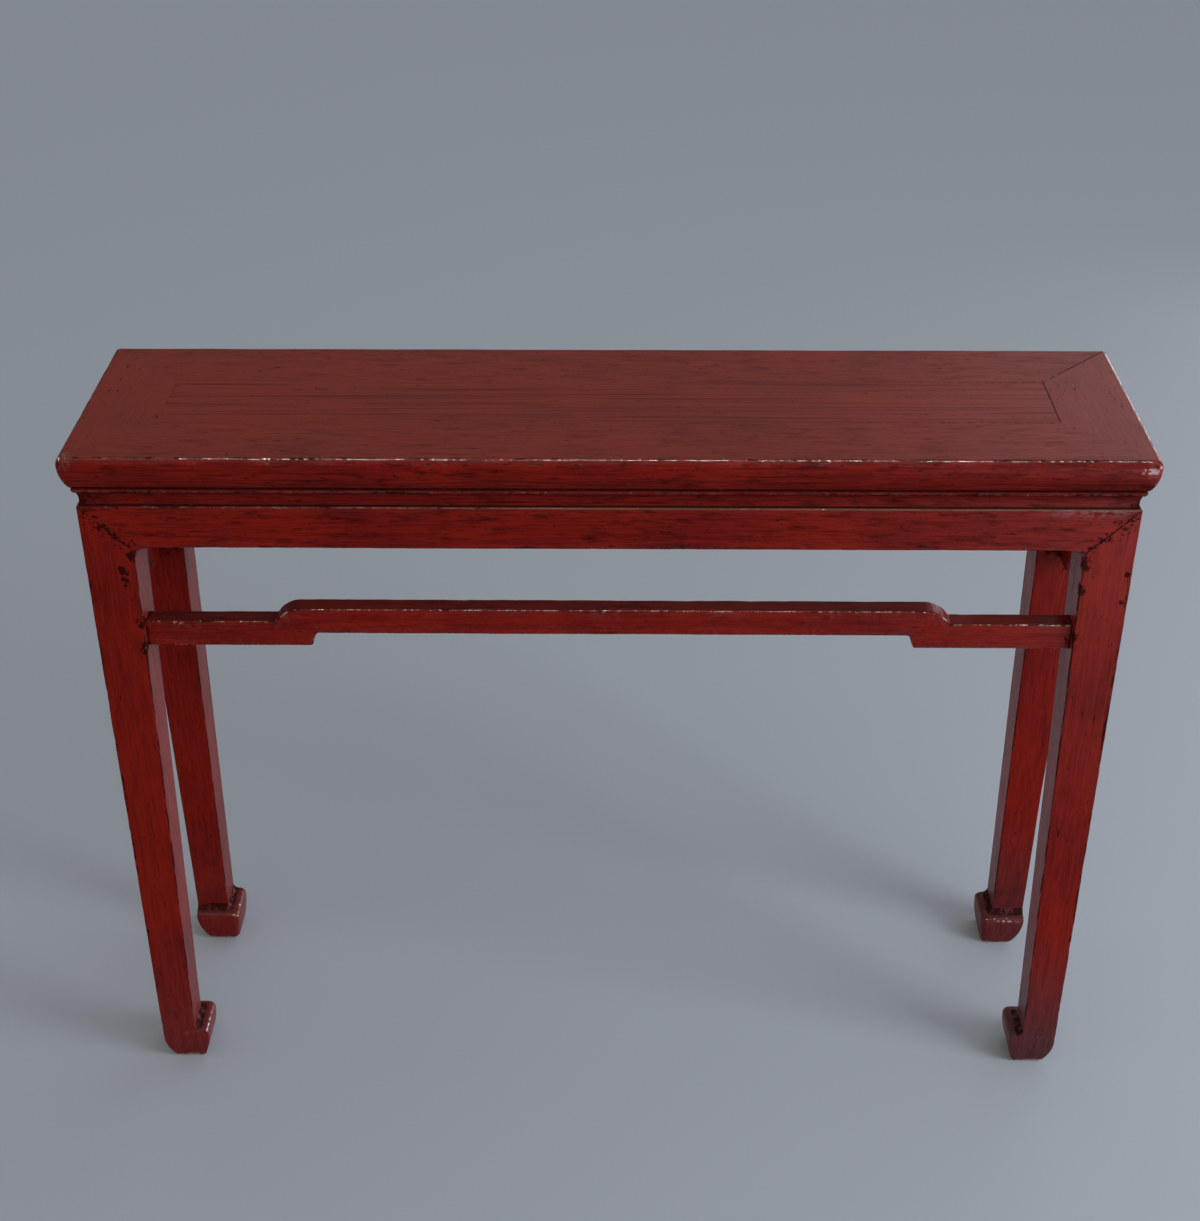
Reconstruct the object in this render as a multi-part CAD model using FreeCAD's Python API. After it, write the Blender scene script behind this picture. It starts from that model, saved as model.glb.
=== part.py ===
import FreeCAD, Part
import math
import os

from FreeCAD import Vector

# A narrow Chinese altar table: a mitred top frame with a floating panel, a low
# waist, aprons mitred into four corner legs with hoof feet, and a humpback
# stretcher on each side. Lengths are in millimetres. The origin is on the floor
# under the middle of the table, with +X to the right, +Y to the back and +Z up.

# Overall sizes
table_length = 1138.0
table_depth = 281.0
table_height = 850.0

# Top frame, measured from its widest line inwards and from its top downwards
top_thickness = 47.0
frame_width = 90.0
arris_inset = 3.2
arris_drop = 1.9
arris_flat = 3.4
bulge_depth = 11.0
quirk_inset = 10.0
quirk_depth = 38.5
quirk_cut = 1.5
bead_gap = 2.0
underside_inset = 14.3
corner_tenon_thickness = 10.0
corner_tenon_margin = 22.0
corner_tenon_cover = 18.0

# Floating panel and the battens under it
panel_thickness = 16.0
panel_lip = 7.0
tongue_thickness = 6.0
tongue_depth = 8.0
panel_play = 1.0
joint_gap = 0.4
batten_width = 34.0
batten_depth = 22.0
batten_shoulder = 4.0
batten_tenon_thickness = 10.0
batten_tenon_length = 25.0
dovetail_height = 5.0
dovetail_neck = 24.0
dovetail_flare = 2.0
batten_place_shares = (-0.31, 0.0, 0.31)

# Waist and aprons, measured inwards from the legs' outer faces
leg_inset = 12.0
waist_height = 15.0
waist_setback = 2.0
waist_hollow = 1.6
waist_seat = 5.0
waist_tongue_thickness = 8.0
waist_tongue_height = 5.0
apron_height = 49.5
apron_thickness = 22.0
apron_sweep = 26.0
apron_lip_round = 1.2
apron_tenon_thickness = 8.0
apron_tenon_height = 12.0
apron_tenon_rise = 4.0
apron_tenon_inset = 8.0

# Legs: square, tapering on the inner faces, with the feet standing a little
# further out than the aprons at the front and back. Above the floor the heel
# curves in on the end faces, and much less on the front and back faces
leg_top_width = 54.0
leg_ankle_width = 41.0
leg_lean = 9.0
heel_height = 36.0
heel_reach = 14.0
face_heel_reach = 4.0
toe_height = 46.0
toe_reach = 16.0
toe_round = 2.0
toe_return = 10.0
leg_tenon_thickness = 10.0
leg_tenon_margin = 3.0
leg_tenon_height = 16.0

# Humpback stretchers. The gap is from the legs' shoulders down to a stretcher's top
stretcher_gap = 93.0
stretcher_height = 31.0
hump_rise = 16.0
hump_run = 10.0
hump_round = 29.0
kink_round = 3.0
step_run = 5.0
step_round = 4.0
stretcher_tenon_thickness = 9.0
stretcher_tenon_shoulder = 4.0
tenon_spacing = 3.0
front_stretcher_setback = 10.0
front_stretcher_thickness = 22.5
front_hump_reach = 367.0
front_step_reach = 324.0
front_hump_offset = 5.0
side_stretcher_setback = 5.0
side_stretcher_thickness = 19.0
side_hump_reach = 52.0
side_step_reach = 38.0

# Wooden pegs through the tenons
stretcher_peg_radius = 2.5
apron_peg_radius = 2.0
peg_pass = 3.0
peg_spacing = 5.0

# Clearances: sideways round a peg, past the blind end of a tenon or peg, and how
# far a cutting body runs past the face that it cuts
peg_clearance = 0.1
end_gap = 1.0
overrun = 5.0

# Places worked out from the sizes above
half_length = table_length / 2
half_depth = table_depth / 2
leg_x = half_length - leg_inset
leg_y = half_depth - leg_inset
frame_bottom = table_height - top_thickness
apron_top = frame_bottom - waist_height
apron_bottom = apron_top - apron_height
shoulder_height = apron_top - leg_top_width
waist_bottom = apron_top - waist_seat
opening_x = half_length - frame_width
opening_y = half_depth - frame_width
groove_top = table_height - panel_lip
groove_bottom = groove_top - tongue_thickness
panel_bottom = table_height - panel_thickness
batten_bottom = panel_bottom - batten_depth
leg_tenon_top = frame_bottom + leg_tenon_height
stretcher_top = shoulder_height - stretcher_gap
stretcher_bottom = stretcher_top - stretcher_height
stretcher_middle = stretcher_top - stretcher_height / 2

ACROSS = Vector(1, 0, 0)
BACKWARD = Vector(0, 1, 0)
UPWARD = Vector(0, 0, 1)


def block(x_range, y_range, z_range):
    """A box between two places along each axis."""
    low = Vector(x_range[0], y_range[0], z_range[0])
    size = Vector(x_range[1], y_range[1], z_range[1]) - low
    return Part.makeBox(size.x, size.y, size.z, low)


def prism(points, z_range):
    """An upright prism over a plan of (x, y) points."""
    corners = [Vector(x, y, z_range[0]) for x, y in points]
    face = Part.Face(Part.makePolygon(corners + corners[:1]))
    return face.extrude(UPWARD * (z_range[1] - z_range[0]))


def flip_x(shape):
    return shape.mirror(Vector(), ACROSS)


def flip_y(shape):
    return shape.mirror(Vector(), BACKWARD)


def both_ends(shape):
    """The shape at the left end of a piece, and its mirror at the right end."""
    return [shape, flip_x(shape)]


def both_sides(shape):
    """The shape at the front end of a piece, and its mirror at the back end."""
    return [shape, flip_y(shape)]


def all_corners(shapes):
    """Shapes of the front left corner, repeated at the other three."""
    front = [end for shape in shapes for end in both_ends(shape)]
    return [side for shape in front for side in both_sides(shape)]


def arc_from_upright(start, end):
    """An arc that leaves start straight up or down and reaches end. Points are
    (across, up) pairs, and the result is its start, middle and end."""
    run = end[0] - start[0]
    rise = end[1] - start[1]
    radius = (run * run + rise * rise) / (2 * run)
    half_turn = math.asin(abs(rise / radius)) / 2
    middle_across = start[0] + radius * (1 - math.cos(half_turn))
    middle_up = start[1] + math.copysign(radius, rise) * math.sin(half_turn)
    return start, (middle_across, middle_up), end


def arc_from_level(start, end):
    """An arc that leaves start level and reaches end."""
    turned = arc_from_upright((start[1], start[0]), (end[1], end[0]))
    return [(across, up) for up, across in turned]


def quarter_arc(start, end, centre):
    """An arc about centre: its start, its middle half way round, and its end."""
    toward = ((start[0] + end[0]) / 2 - centre[0], (start[1] + end[1]) / 2 - centre[1])
    radius = math.hypot(start[0] - centre[0], start[1] - centre[1])
    stretch = radius / math.hypot(*toward)
    return start, (centre[0] + toward[0] * stretch, centre[1] + toward[1] * stretch), end


def outline_face(runs, place):
    """A face inside straight runs of two points and arcs of three, in order, where
    place turns an (across, up) pair into a point in space."""
    edges = []
    for run in runs:
        points = [place(*point) for point in run]
        if len(points) == 3:
            edges.append(Part.Arc(*points).toShape())
        else:
            edges.append(Part.LineSegment(*points).toShape())
    return Part.Face(Part.Wire(edges))


def rounded_runs(corners):
    """Runs round a closed outline of (across, up, radius) corners."""
    runs = []
    last = None
    first = None
    for index, corner in enumerate(corners):
        here = Vector(corner[0], corner[1], 0)
        before = Vector(corners[index - 1][0], corners[index - 1][1], 0)
        after_corner = corners[(index + 1) % len(corners)]
        after = Vector(after_corner[0], after_corner[1], 0)
        enter = (here - before).normalize()
        leave = (after - here).normalize()
        arrive = here
        depart = here
        arc = None
        if corner[2]:
            turn = enter.getAngle(leave)
            reach = corner[2] * math.tan(turn / 2)
            arrive = here - enter * reach
            depart = here + leave * reach
            inward = (leave - enter).normalize()
            middle = here + inward * (corner[2] / math.cos(turn / 2) - corner[2])
            arc = [(point.x, point.y) for point in (arrive, middle, depart)]
        if last is not None:
            runs.append([last, (arrive.x, arrive.y)])
        else:
            first = (arrive.x, arrive.y)
        if arc:
            runs.append(arc)
        last = (depart.x, depart.y)
    runs.append([last, first])
    return runs


def front_plan(reach_x, reach_y, width, z_range):
    """Plan of a front member whose ends are mitred at the corners of a rectangle."""
    out = overrun
    inner = width + overrun
    return prism([(-reach_x - out, -reach_y - out), (reach_x + out, -reach_y - out),
                  (reach_x - inner, inner - reach_y), (inner - reach_x, inner - reach_y)], z_range)


def left_plan(reach_x, reach_y, width, z_range):
    """Plan of a left member whose ends are mitred at the corners of a rectangle."""
    out = overrun
    inner = width + overrun
    return prism([(-reach_x - out, -reach_y - out), (inner - reach_x, inner - reach_y),
                  (inner - reach_x, reach_y - inner), (-reach_x - out, reach_y + out)], z_range)


def front_member(runs, reach_x, reach_y):
    """Sweep a section along the front. The section is measured inwards and upwards."""
    face = outline_face(runs, lambda inset, up: Vector(-reach_x, inset - reach_y, up))
    return face.extrude(ACROSS * (2 * reach_x))


def left_member(runs, reach_x, reach_y):
    """Sweep a section along the left side."""
    face = outline_face(runs, lambda inset, up: Vector(inset - reach_x, -reach_y, up))
    return face.extrude(BACKWARD * (2 * reach_y))


# Top frame

def rail_section():
    """Moulded edge: a rounded arris, a full bulge, a quirk and a bead."""
    top = table_height
    flat_end = (arris_inset + arris_flat, top)
    arris = (arris_inset, top - arris_drop)
    widest = (0, top - bulge_depth)
    quirk = (quirk_inset, top - quirk_depth)
    quirk_bottom = (quirk_inset + quirk_cut, top - quirk_depth - bead_gap / 2)
    bead = (quirk_inset, top - quirk_depth - bead_gap)
    under = (underside_inset, frame_bottom)
    return [
        arc_from_level(flat_end, arris),
        list(reversed(arc_from_upright(widest, arris))),
        arc_from_upright(widest, quirk),
        [quirk, quirk_bottom],
        [quirk_bottom, bead],
        arc_from_upright(bead, under),
        [under, (frame_width, frame_bottom)],
        [(frame_width, frame_bottom), (frame_width, top)],
        [(frame_width, top), flat_end],
    ]


def panel_groove():
    reach_x = opening_x + tongue_depth
    reach_y = opening_y + tongue_depth
    return block((-reach_x, reach_x), (-reach_y, reach_y), (groove_bottom, groove_top))


def waist_tongue_insets():
    """The tongue's two faces, measured inwards from the legs' outer faces."""
    middle = (waist_setback + apron_thickness) / 2
    return middle - waist_tongue_thickness / 2, middle + waist_tongue_thickness / 2


def waist_groove():
    outer, inner = waist_tongue_insets()
    heights = (frame_bottom, frame_bottom + waist_tongue_height)
    whole = block((outer - leg_x, leg_x - outer), (outer - leg_y, leg_y - outer), heights)
    return whole.cut(block((inner - leg_x, leg_x - inner), (inner - leg_y, leg_y - inner), heights))


def corner_tenon(extra):
    """Tenon of the front rail through the mitre at the left corner."""
    middle = (leg_tenon_top + groove_bottom) / 2
    across = (corner_tenon_cover - extra - half_length, frame_width - half_length)
    inward = (corner_tenon_margin - half_depth, frame_width - corner_tenon_margin - half_depth)
    return block(across, inward, (middle - corner_tenon_thickness / 2, middle + corner_tenon_thickness / 2))


def leg_tenons(extra):
    """The front left leg's two tenons: one in the long rail, one in the short rail."""
    near = apron_thickness + leg_tenon_margin
    near_end = near + leg_tenon_thickness
    far = near_end + leg_tenon_margin
    far_end = leg_top_width - leg_tenon_margin
    heights = (frame_bottom, leg_tenon_top + extra)
    long_one = block((far - leg_x, far_end - leg_x), (near - leg_y, near_end - leg_y), heights)
    short_one = block((near - leg_x, near_end - leg_x), (far - leg_y, far_end - leg_y), heights)
    return [long_one, short_one]


def batten_places():
    return [share * 2 * opening_x for share in batten_place_shares]


def batten_tenons(place, reach):
    half = batten_width / 2 - batten_shoulder
    middle = (batten_bottom + panel_bottom) / 2
    heights = (middle - batten_tenon_thickness / 2, middle + batten_tenon_thickness / 2)
    return block((place - half, place + half), (-reach, reach), heights)


def front_top_rail():
    plan = front_plan(half_length, half_depth, frame_width, (frame_bottom - overrun, table_height + overrun))
    rail = front_member(rail_section(), half_length, half_depth).common(plan)
    rail = rail.fuse(both_ends(corner_tenon(0)))
    reach = opening_y + batten_tenon_length + end_gap
    cuts = [panel_groove(), waist_groove()]
    cuts += [batten_tenons(place, reach) for place in batten_places()]
    cuts += [end for tenon in leg_tenons(end_gap) for end in both_ends(tenon)]
    return rail.cut(cuts)


def left_top_rail():
    plan = left_plan(half_length, half_depth, frame_width, (frame_bottom - overrun, table_height + overrun))
    rail = left_member(rail_section(), half_length, half_depth).common(plan)
    cuts = [panel_groove(), waist_groove()]
    cuts += both_sides(corner_tenon(end_gap))
    cuts += [side for tenon in leg_tenons(end_gap) for side in both_sides(tenon)]
    return rail.cut(cuts)


# Panel and battens

def dovetail(place, reach):
    low = dovetail_neck / 2
    high = low + dovetail_flare
    top = panel_bottom + dovetail_height
    points = [(place - low, panel_bottom), (place + low, panel_bottom), (place + high, top), (place - high, top)]
    corners = [Vector(across, -reach, up) for across, up in points]
    face = Part.Face(Part.makePolygon(corners + corners[:1]))
    return face.extrude(BACKWARD * (2 * reach))


def top_panel():
    body_x = opening_x - joint_gap
    body_y = opening_y - joint_gap
    tongue_x = opening_x + tongue_depth - panel_play
    tongue_y = opening_y + tongue_depth - panel_play
    body = block((-body_x, body_x), (-body_y, body_y), (panel_bottom, table_height))
    tongue = block((-tongue_x, tongue_x), (-tongue_y, tongue_y), (groove_bottom, groove_top))
    return body.fuse(tongue).cut([dovetail(place, half_depth) for place in batten_places()])


def batten(place):
    half = batten_width / 2
    bar = block((place - half, place + half), (-opening_y, opening_y), (batten_bottom, panel_bottom))
    return bar.fuse([dovetail(place, opening_y), batten_tenons(place, opening_y + batten_tenon_length)])


# Waist and aprons

def waist_section():
    outer, inner = waist_tongue_insets()
    tongue_top = frame_bottom + waist_tongue_height
    return [
        [(waist_setback, waist_bottom), (waist_setback, apron_top)],
        [(waist_setback, apron_top), (waist_setback + waist_hollow, apron_top + waist_height / 2),
         (waist_setback, frame_bottom)],
        [(waist_setback, frame_bottom), (outer, frame_bottom)],
        [(outer, frame_bottom), (outer, tongue_top)],
        [(outer, tongue_top), (inner, tongue_top)],
        [(inner, tongue_top), (inner, frame_bottom)],
        [(inner, frame_bottom), (apron_thickness, frame_bottom)],
        [(apron_thickness, frame_bottom), (apron_thickness, waist_bottom)],
        [(apron_thickness, waist_bottom), (waist_setback, waist_bottom)],
    ]


def front_waist():
    plan = front_plan(leg_x, leg_y, apron_thickness, (waist_bottom - overrun, table_height))
    return front_member(waist_section(), leg_x, leg_y).common(plan)


def left_waist():
    plan = left_plan(leg_x, leg_y, apron_thickness, (waist_bottom - overrun, table_height))
    return left_member(waist_section(), leg_x, leg_y).common(plan)


def apron_outline(reach):
    """Front of an apron: its ends follow the legs' mitres, and its lower edge sweeps
    down to meet the legs."""
    inner = reach - leg_top_width
    start = inner - apron_sweep
    return [
        [(-reach, apron_top), (reach, apron_top)],
        [(reach, apron_top), (inner, shoulder_height)],
        list(reversed(arc_from_level((start, apron_bottom), (inner, shoulder_height)))),
        [(start, apron_bottom), (-start, apron_bottom)],
        arc_from_level((-start, apron_bottom), (-inner, shoulder_height)),
        [(-inner, shoulder_height), (-reach, apron_top)],
    ]


def apron_section():
    """Lip outside the waist, the seat for the waist behind it, and the back."""
    lip_top = apron_top
    side = lip_top - apron_lip_round
    flat = apron_lip_round
    far = lip_top - apron_height - leg_top_width
    return [
        [(0, far), (0, side)],
        quarter_arc((0, side), (flat, lip_top), (flat, side)),
        [(flat, lip_top), (waist_setback, lip_top)],
        [(waist_setback, lip_top), (waist_setback, waist_bottom)],
        [(waist_setback, waist_bottom), (apron_thickness, waist_bottom)],
        [(apron_thickness, waist_bottom), (apron_thickness, far)],
        [(apron_thickness, far), (0, far)],
    ]


def apron_tenon_heights():
    low = apron_bottom + apron_tenon_rise
    return low, low + apron_tenon_height


def apron_tenon_faces():
    """The tenon's two faces, measured inwards from the legs' outer faces."""
    return apron_tenon_inset, apron_tenon_inset + apron_tenon_thickness


def apron_tenon_stop():
    """Where a tenon ends, clear of the one that meets it in the leg."""
    return apron_tenon_faces()[1] + tenon_spacing


def front_apron_tenon(extra):
    near, far = apron_tenon_faces()
    across = (apron_tenon_stop() - extra - leg_x, leg_top_width - leg_x)
    return block(across, (near - leg_y, far - leg_y), apron_tenon_heights())


def left_apron_tenon(extra):
    near, far = apron_tenon_faces()
    inward = (apron_tenon_stop() - extra - leg_y, leg_top_width - leg_y)
    return block((near - leg_x, far - leg_x), inward, apron_tenon_heights())


def front_apron():
    face = outline_face(apron_outline(leg_x), lambda across, up: Vector(across, -leg_y - overrun, up))
    board = face.extrude(BACKWARD * (apron_thickness + 2 * overrun))
    board = board.common(front_member(apron_section(), leg_x, leg_y))
    board = board.common(front_plan(leg_x, leg_y, apron_thickness, (shoulder_height - overrun, table_height)))
    board = board.fuse(both_ends(front_apron_tenon(0)))
    return board.cut(both_ends(apron_peg_holes()[0]))


def left_apron():
    face = outline_face(apron_outline(leg_y), lambda across, up: Vector(-leg_x - overrun, across, up))
    board = face.extrude(ACROSS * (apron_thickness + 2 * overrun))
    board = board.common(left_member(apron_section(), leg_x, leg_y))
    board = board.common(left_plan(leg_x, leg_y, apron_thickness, (shoulder_height - overrun, table_height)))
    board = board.fuse(both_sides(left_apron_tenon(0)))
    return board.cut(both_sides(apron_peg_holes()[1]))


# Legs

def lean_at(height):
    """How far the front and back faces stand out at a height below the shoulder."""
    return leg_lean * (shoulder_height - height) / shoulder_height


def leg_outline(lean):
    """A leg seen square on, measured inwards from its outer face. lean is 1 for the
    view along X, where the leg leans out, and 0 for the view along Y, where the heel
    curves in the most."""
    foot = -lean * leg_lean
    sweep = toe_reach - toe_round
    tip = leg_ankle_width + toe_reach
    tip_side = (tip, toe_height - toe_round)
    tip_top = (tip - toe_round, toe_height)
    ankle = (leg_ankle_width, toe_height + sweep)
    heel_top = (0, heel_height)
    heel = (face_heel_reach if lean else heel_reach, 0)
    base = (tip - toe_return, 0)
    run_back = arc_from_upright(tip_side, base)
    runs = [
        arc_from_upright(heel_top, heel),
        [heel, base],
        list(reversed(run_back)),
        quarter_arc(tip_side, tip_top, (tip - toe_round, toe_height - toe_round)),
        quarter_arc(tip_top, ankle, (tip_top[0], ankle[1])),
        [ankle, (leg_top_width, shoulder_height)],
    ]
    leaning = [[(across - lean * lean_at(up), up) for across, up in run] for run in runs]
    top = [
        [(leg_top_width, shoulder_height), (0, apron_top)],
        [(0, apron_top), (0, shoulder_height)],
        [(0, shoulder_height), (-lean * lean_at(heel_height), heel_height)],
    ]
    return leaning + top


def leg_blank():
    """The front left leg before its joints are cut: two outlines crossed, so that
    both outer faces are mitred at the top and both inner faces end in a hoof."""
    reach = leg_top_width + toe_reach + leg_lean
    across = outline_face(leg_outline(0), lambda inset, up: Vector(inset - leg_x, -leg_y - reach, up))
    inward = outline_face(leg_outline(1), lambda inset, up: Vector(-leg_x - reach, inset - leg_y, up))
    return across.extrude(BACKWARD * (3 * reach)).common(inward.extrude(ACROSS * (3 * reach)))


def leg_neck():
    """The square post behind the aprons and the waist that carries the top."""
    across = (apron_thickness - leg_x, leg_top_width - leg_x)
    inward = (apron_thickness - leg_y, leg_top_width - leg_y)
    return block(across, inward, (shoulder_height, frame_bottom))


def front_left_leg():
    leg = leg_blank().fuse([leg_neck()] + leg_tenons(0))
    across = (waist_setback - leg_x, apron_thickness - leg_x)
    inward = (waist_setback - leg_y, apron_thickness - leg_y)
    seat = block(across, inward, (waist_bottom, apron_top))
    cuts = [seat, front_apron_tenon(end_gap), left_apron_tenon(end_gap)]
    cuts += [front_stretcher_tenon(end_gap), left_stretcher_tenon(end_gap)]
    cuts += apron_peg_holes() + stretcher_peg_holes()
    return leg.cut(cuts).removeSplitter()


# Stretchers

def stretcher_outline(reach, hump_reach, step_reach, offset):
    """Front of a stretcher: flat at both ends, with a raised middle whose top falls in
    a round shoulder and whose underside drops in a small step."""
    high = stretcher_top + hump_rise
    low = stretcher_bottom
    under = low + hump_rise
    crest = hump_reach - hump_run
    step_foot = step_reach + step_run
    return rounded_runs([
        (-reach, low, 0), (offset - step_foot, low, step_round), (offset - step_reach, under, step_round),
        (offset + step_reach, under, step_round), (offset + step_foot, low, step_round), (reach, low, 0),
        (reach, stretcher_top, 0), (offset + hump_reach, stretcher_top, kink_round),
        (offset + crest, high, hump_round), (offset - crest, high, hump_round),
        (offset - hump_reach, stretcher_top, kink_round), (-reach, stretcher_top, 0),
    ])


def front_stretcher_place():
    """Outer face of the front stretcher, behind the legs' faces at its height."""
    return front_stretcher_setback - lean_at(stretcher_middle) - leg_y


def stretcher_tenon_heights():
    return stretcher_bottom + stretcher_tenon_shoulder, stretcher_top - stretcher_tenon_shoulder


def side_tenon_faces():
    middle = side_stretcher_setback + side_stretcher_thickness / 2
    return middle - stretcher_tenon_thickness / 2, middle + stretcher_tenon_thickness / 2


def front_tenon_faces():
    middle = front_stretcher_place() + front_stretcher_thickness / 2
    return middle - stretcher_tenon_thickness / 2, middle + stretcher_tenon_thickness / 2


def front_tenon_stop():
    return side_tenon_faces()[1] + tenon_spacing


def front_stretcher_tenon(extra):
    across = (front_tenon_stop() - extra - leg_x, leg_top_width - leg_x)
    return block(across, front_tenon_faces(), stretcher_tenon_heights())


def left_stretcher_tenon(extra):
    near, far = side_tenon_faces()
    stop = front_tenon_stop() - leg_y - extra
    return block((near - leg_x, far - leg_x), (stop, leg_top_width - leg_y), stretcher_tenon_heights())


def front_stretcher():
    runs = stretcher_outline(leg_x - leg_ankle_width, front_hump_reach, front_step_reach, front_hump_offset)
    face = outline_face(runs, lambda across, up: Vector(across, front_stretcher_place(), up))
    bar = face.extrude(BACKWARD * front_stretcher_thickness).cut(both_ends(leg_blank()))
    bar = bar.fuse(both_ends(front_stretcher_tenon(0)))
    return bar.cut(both_ends(stretcher_peg_holes()[0]))


def left_stretcher():
    runs = stretcher_outline(leg_y - leg_ankle_width, side_hump_reach, side_step_reach, 0)
    outer = side_stretcher_setback - leg_x
    face = outline_face(runs, lambda across, up: Vector(outer, across, up))
    bar = face.extrude(ACROSS * side_stretcher_thickness).cut(both_sides(leg_blank()))
    bar = bar.fuse(both_sides(left_stretcher_tenon(0)))
    return bar.cut(both_sides(stretcher_peg_holes()[1]))


# Pegs, driven into the legs' inner faces

def peg(start, direction, length, radius):
    return Part.makeCylinder(radius, length, start, direction)


def stretcher_peg_shapes(radius, extra):
    """One peg through the front stretcher's tenon and one through the left one's."""
    inner = leg_top_width + overrun
    along = (front_tenon_stop() + leg_ankle_width) / 2
    front_stop = front_tenon_faces()[0] - peg_pass - extra
    left_stop = side_tenon_faces()[0] - peg_pass - extra - leg_x
    back_to_front = peg(Vector(along - leg_x, inner - leg_y, stretcher_middle + peg_spacing),
                        -BACKWARD, inner - leg_y - front_stop, radius)
    right_to_left = peg(Vector(inner - leg_x, along - leg_y, stretcher_middle - peg_spacing),
                        -ACROSS, inner - leg_x - left_stop, radius)
    return [back_to_front, right_to_left]


def apron_peg_shapes(radius, extra):
    """One peg through the front apron's tenon and one through the left one's."""
    low, high = apron_tenon_heights()
    middle = (low + high) / 2
    along = (apron_tenon_stop() + apron_top - high) / 2
    stop = apron_tenon_faces()[0] - peg_pass - extra
    length = leg_top_width - stop
    back_to_front = peg(Vector(along - leg_x, leg_top_width - leg_y, middle + peg_spacing / 2),
                        -BACKWARD, length, radius)
    right_to_left = peg(Vector(leg_top_width - leg_x, along - leg_y, middle - peg_spacing / 2),
                        -ACROSS, length, radius)
    return [back_to_front, right_to_left]


def stretcher_peg_holes():
    return stretcher_peg_shapes(stretcher_peg_radius + peg_clearance, end_gap)


def apron_peg_holes():
    return apron_peg_shapes(apron_peg_radius + peg_clearance, end_gap)


def stretcher_pegs():
    blank = leg_blank()
    pegs = [shape.common(blank) for shape in stretcher_peg_shapes(stretcher_peg_radius, 0)]
    return Part.makeCompound(all_corners(pegs))


def apron_pegs():
    return Part.makeCompound(all_corners(apron_peg_shapes(apron_peg_radius, 0)))


def all_pieces():
    """Every piece of the table by its name."""
    leg = front_left_leg()
    pieces = {
        "top_panel": top_panel(),
        "front_top_rail": front_top_rail(),
        "left_top_rail": left_top_rail(),
        "front_waist": front_waist(),
        "left_waist": left_waist(),
        "front_apron": front_apron(),
        "left_apron": left_apron(),
        "front_left_leg": leg,
        "front_right_leg": flip_x(leg),
        "back_left_leg": flip_y(leg),
        "back_right_leg": flip_x(flip_y(leg)),
        "front_stretcher": front_stretcher(),
        "left_stretcher": left_stretcher(),
        "stretcher_pegs": stretcher_pegs(),
        "apron_pegs": apron_pegs(),
    }
    for kind in ("top_rail", "waist", "apron", "stretcher"):
        pieces["back_" + kind] = flip_y(pieces["front_" + kind])
        pieces["right_" + kind] = flip_x(pieces["left_" + kind])
    for name, place in zip(("left_batten", "middle_batten", "right_batten"), batten_places()):
        pieces[name] = batten(place)
    return pieces


def main():
    os.makedirs("parts", exist_ok=True)
    for name, shape in sorted(all_pieces().items()):
        shape.exportStep("parts/" + name + ".step")
        print(name, len(shape.Solids), shape.isValid(), round(shape.Volume))


main()
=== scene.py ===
import math
from functools import partial

import bmesh
import bpy
from bpy.props import FloatProperty, FloatVectorProperty, PointerProperty
from mathutils import Matrix, Vector, noise


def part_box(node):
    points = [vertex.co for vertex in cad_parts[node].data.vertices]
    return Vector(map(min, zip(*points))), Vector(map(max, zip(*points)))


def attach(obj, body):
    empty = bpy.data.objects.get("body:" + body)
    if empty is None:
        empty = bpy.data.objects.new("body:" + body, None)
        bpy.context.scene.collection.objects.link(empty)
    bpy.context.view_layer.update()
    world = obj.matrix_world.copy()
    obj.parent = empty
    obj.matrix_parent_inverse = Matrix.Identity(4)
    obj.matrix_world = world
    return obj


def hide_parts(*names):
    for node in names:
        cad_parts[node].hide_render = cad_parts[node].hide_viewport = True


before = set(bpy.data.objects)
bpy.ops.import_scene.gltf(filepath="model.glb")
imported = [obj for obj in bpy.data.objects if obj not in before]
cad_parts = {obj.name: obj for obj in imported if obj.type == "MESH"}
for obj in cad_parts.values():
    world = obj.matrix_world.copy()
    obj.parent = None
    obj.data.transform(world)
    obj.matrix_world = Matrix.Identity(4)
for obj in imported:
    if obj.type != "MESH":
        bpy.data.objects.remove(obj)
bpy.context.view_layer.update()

bl_info = {
    "name": "Altar table",
    "version": (1, 0, 0),
    "blender": (4, 5, 0),
    "location": "3D View > Sidebar > Altar table",
    "description": "A waisted altar table in old red lacquer, with humpback stretchers",
    "category": "Add Mesh",
}

MM = 0.001

# How far each side of the table is turned from the front
TURNS = {"front": 0.0, "right": math.pi / 2, "back": math.pi, "left": -math.pi / 2}

# A piece is drawn in its own frame: X runs along it, Y goes in from its outer face, and Z
# is the height above the floor
LENGTHWAYS = (1.0, 0.0, 0.0)
INWARD = (0.0, 1.0, 0.0)
UPWARD = (0.0, 0.0, 1.0)

FRAME_LOW, FRAME_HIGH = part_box("front_top_rail")
APRON_LOW, APRON_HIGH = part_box("front_apron")
LEG_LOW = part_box("front_left_leg")[0]
PANEL_LOW, PANEL_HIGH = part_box("top_panel")
FRONT_BAR_LOW, FRONT_BAR_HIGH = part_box("front_stretcher")
SIDE_BAR_LOW, SIDE_BAR_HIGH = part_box("left_stretcher")
TOP_HALVES = (FRAME_HIGH.x, -FRAME_LOW.y)
BODY_HALVES = (-LEG_LOW.x, -APRON_LOW.y)
BOARD = APRON_HIGH.y - APRON_LOW.y
WELD = 0.001 * MM
# Distance between the sections of a broad face, and the depth of the tongue round the panel
FACE_STEP, TONGUE = 12 * MM, 7 * MM


def linear(hex_value):
    """The linear colour of an sRGB hex value, with full alpha."""
    channels = [int(hex_value[place:place + 2], 16) / 255 for place in (1, 3, 5)]
    straight = [c / 12.92 if c <= 0.04045 else ((c + 0.055) / 1.055) ** 2.4 for c in channels]
    return (*straight, 1.0)


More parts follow.
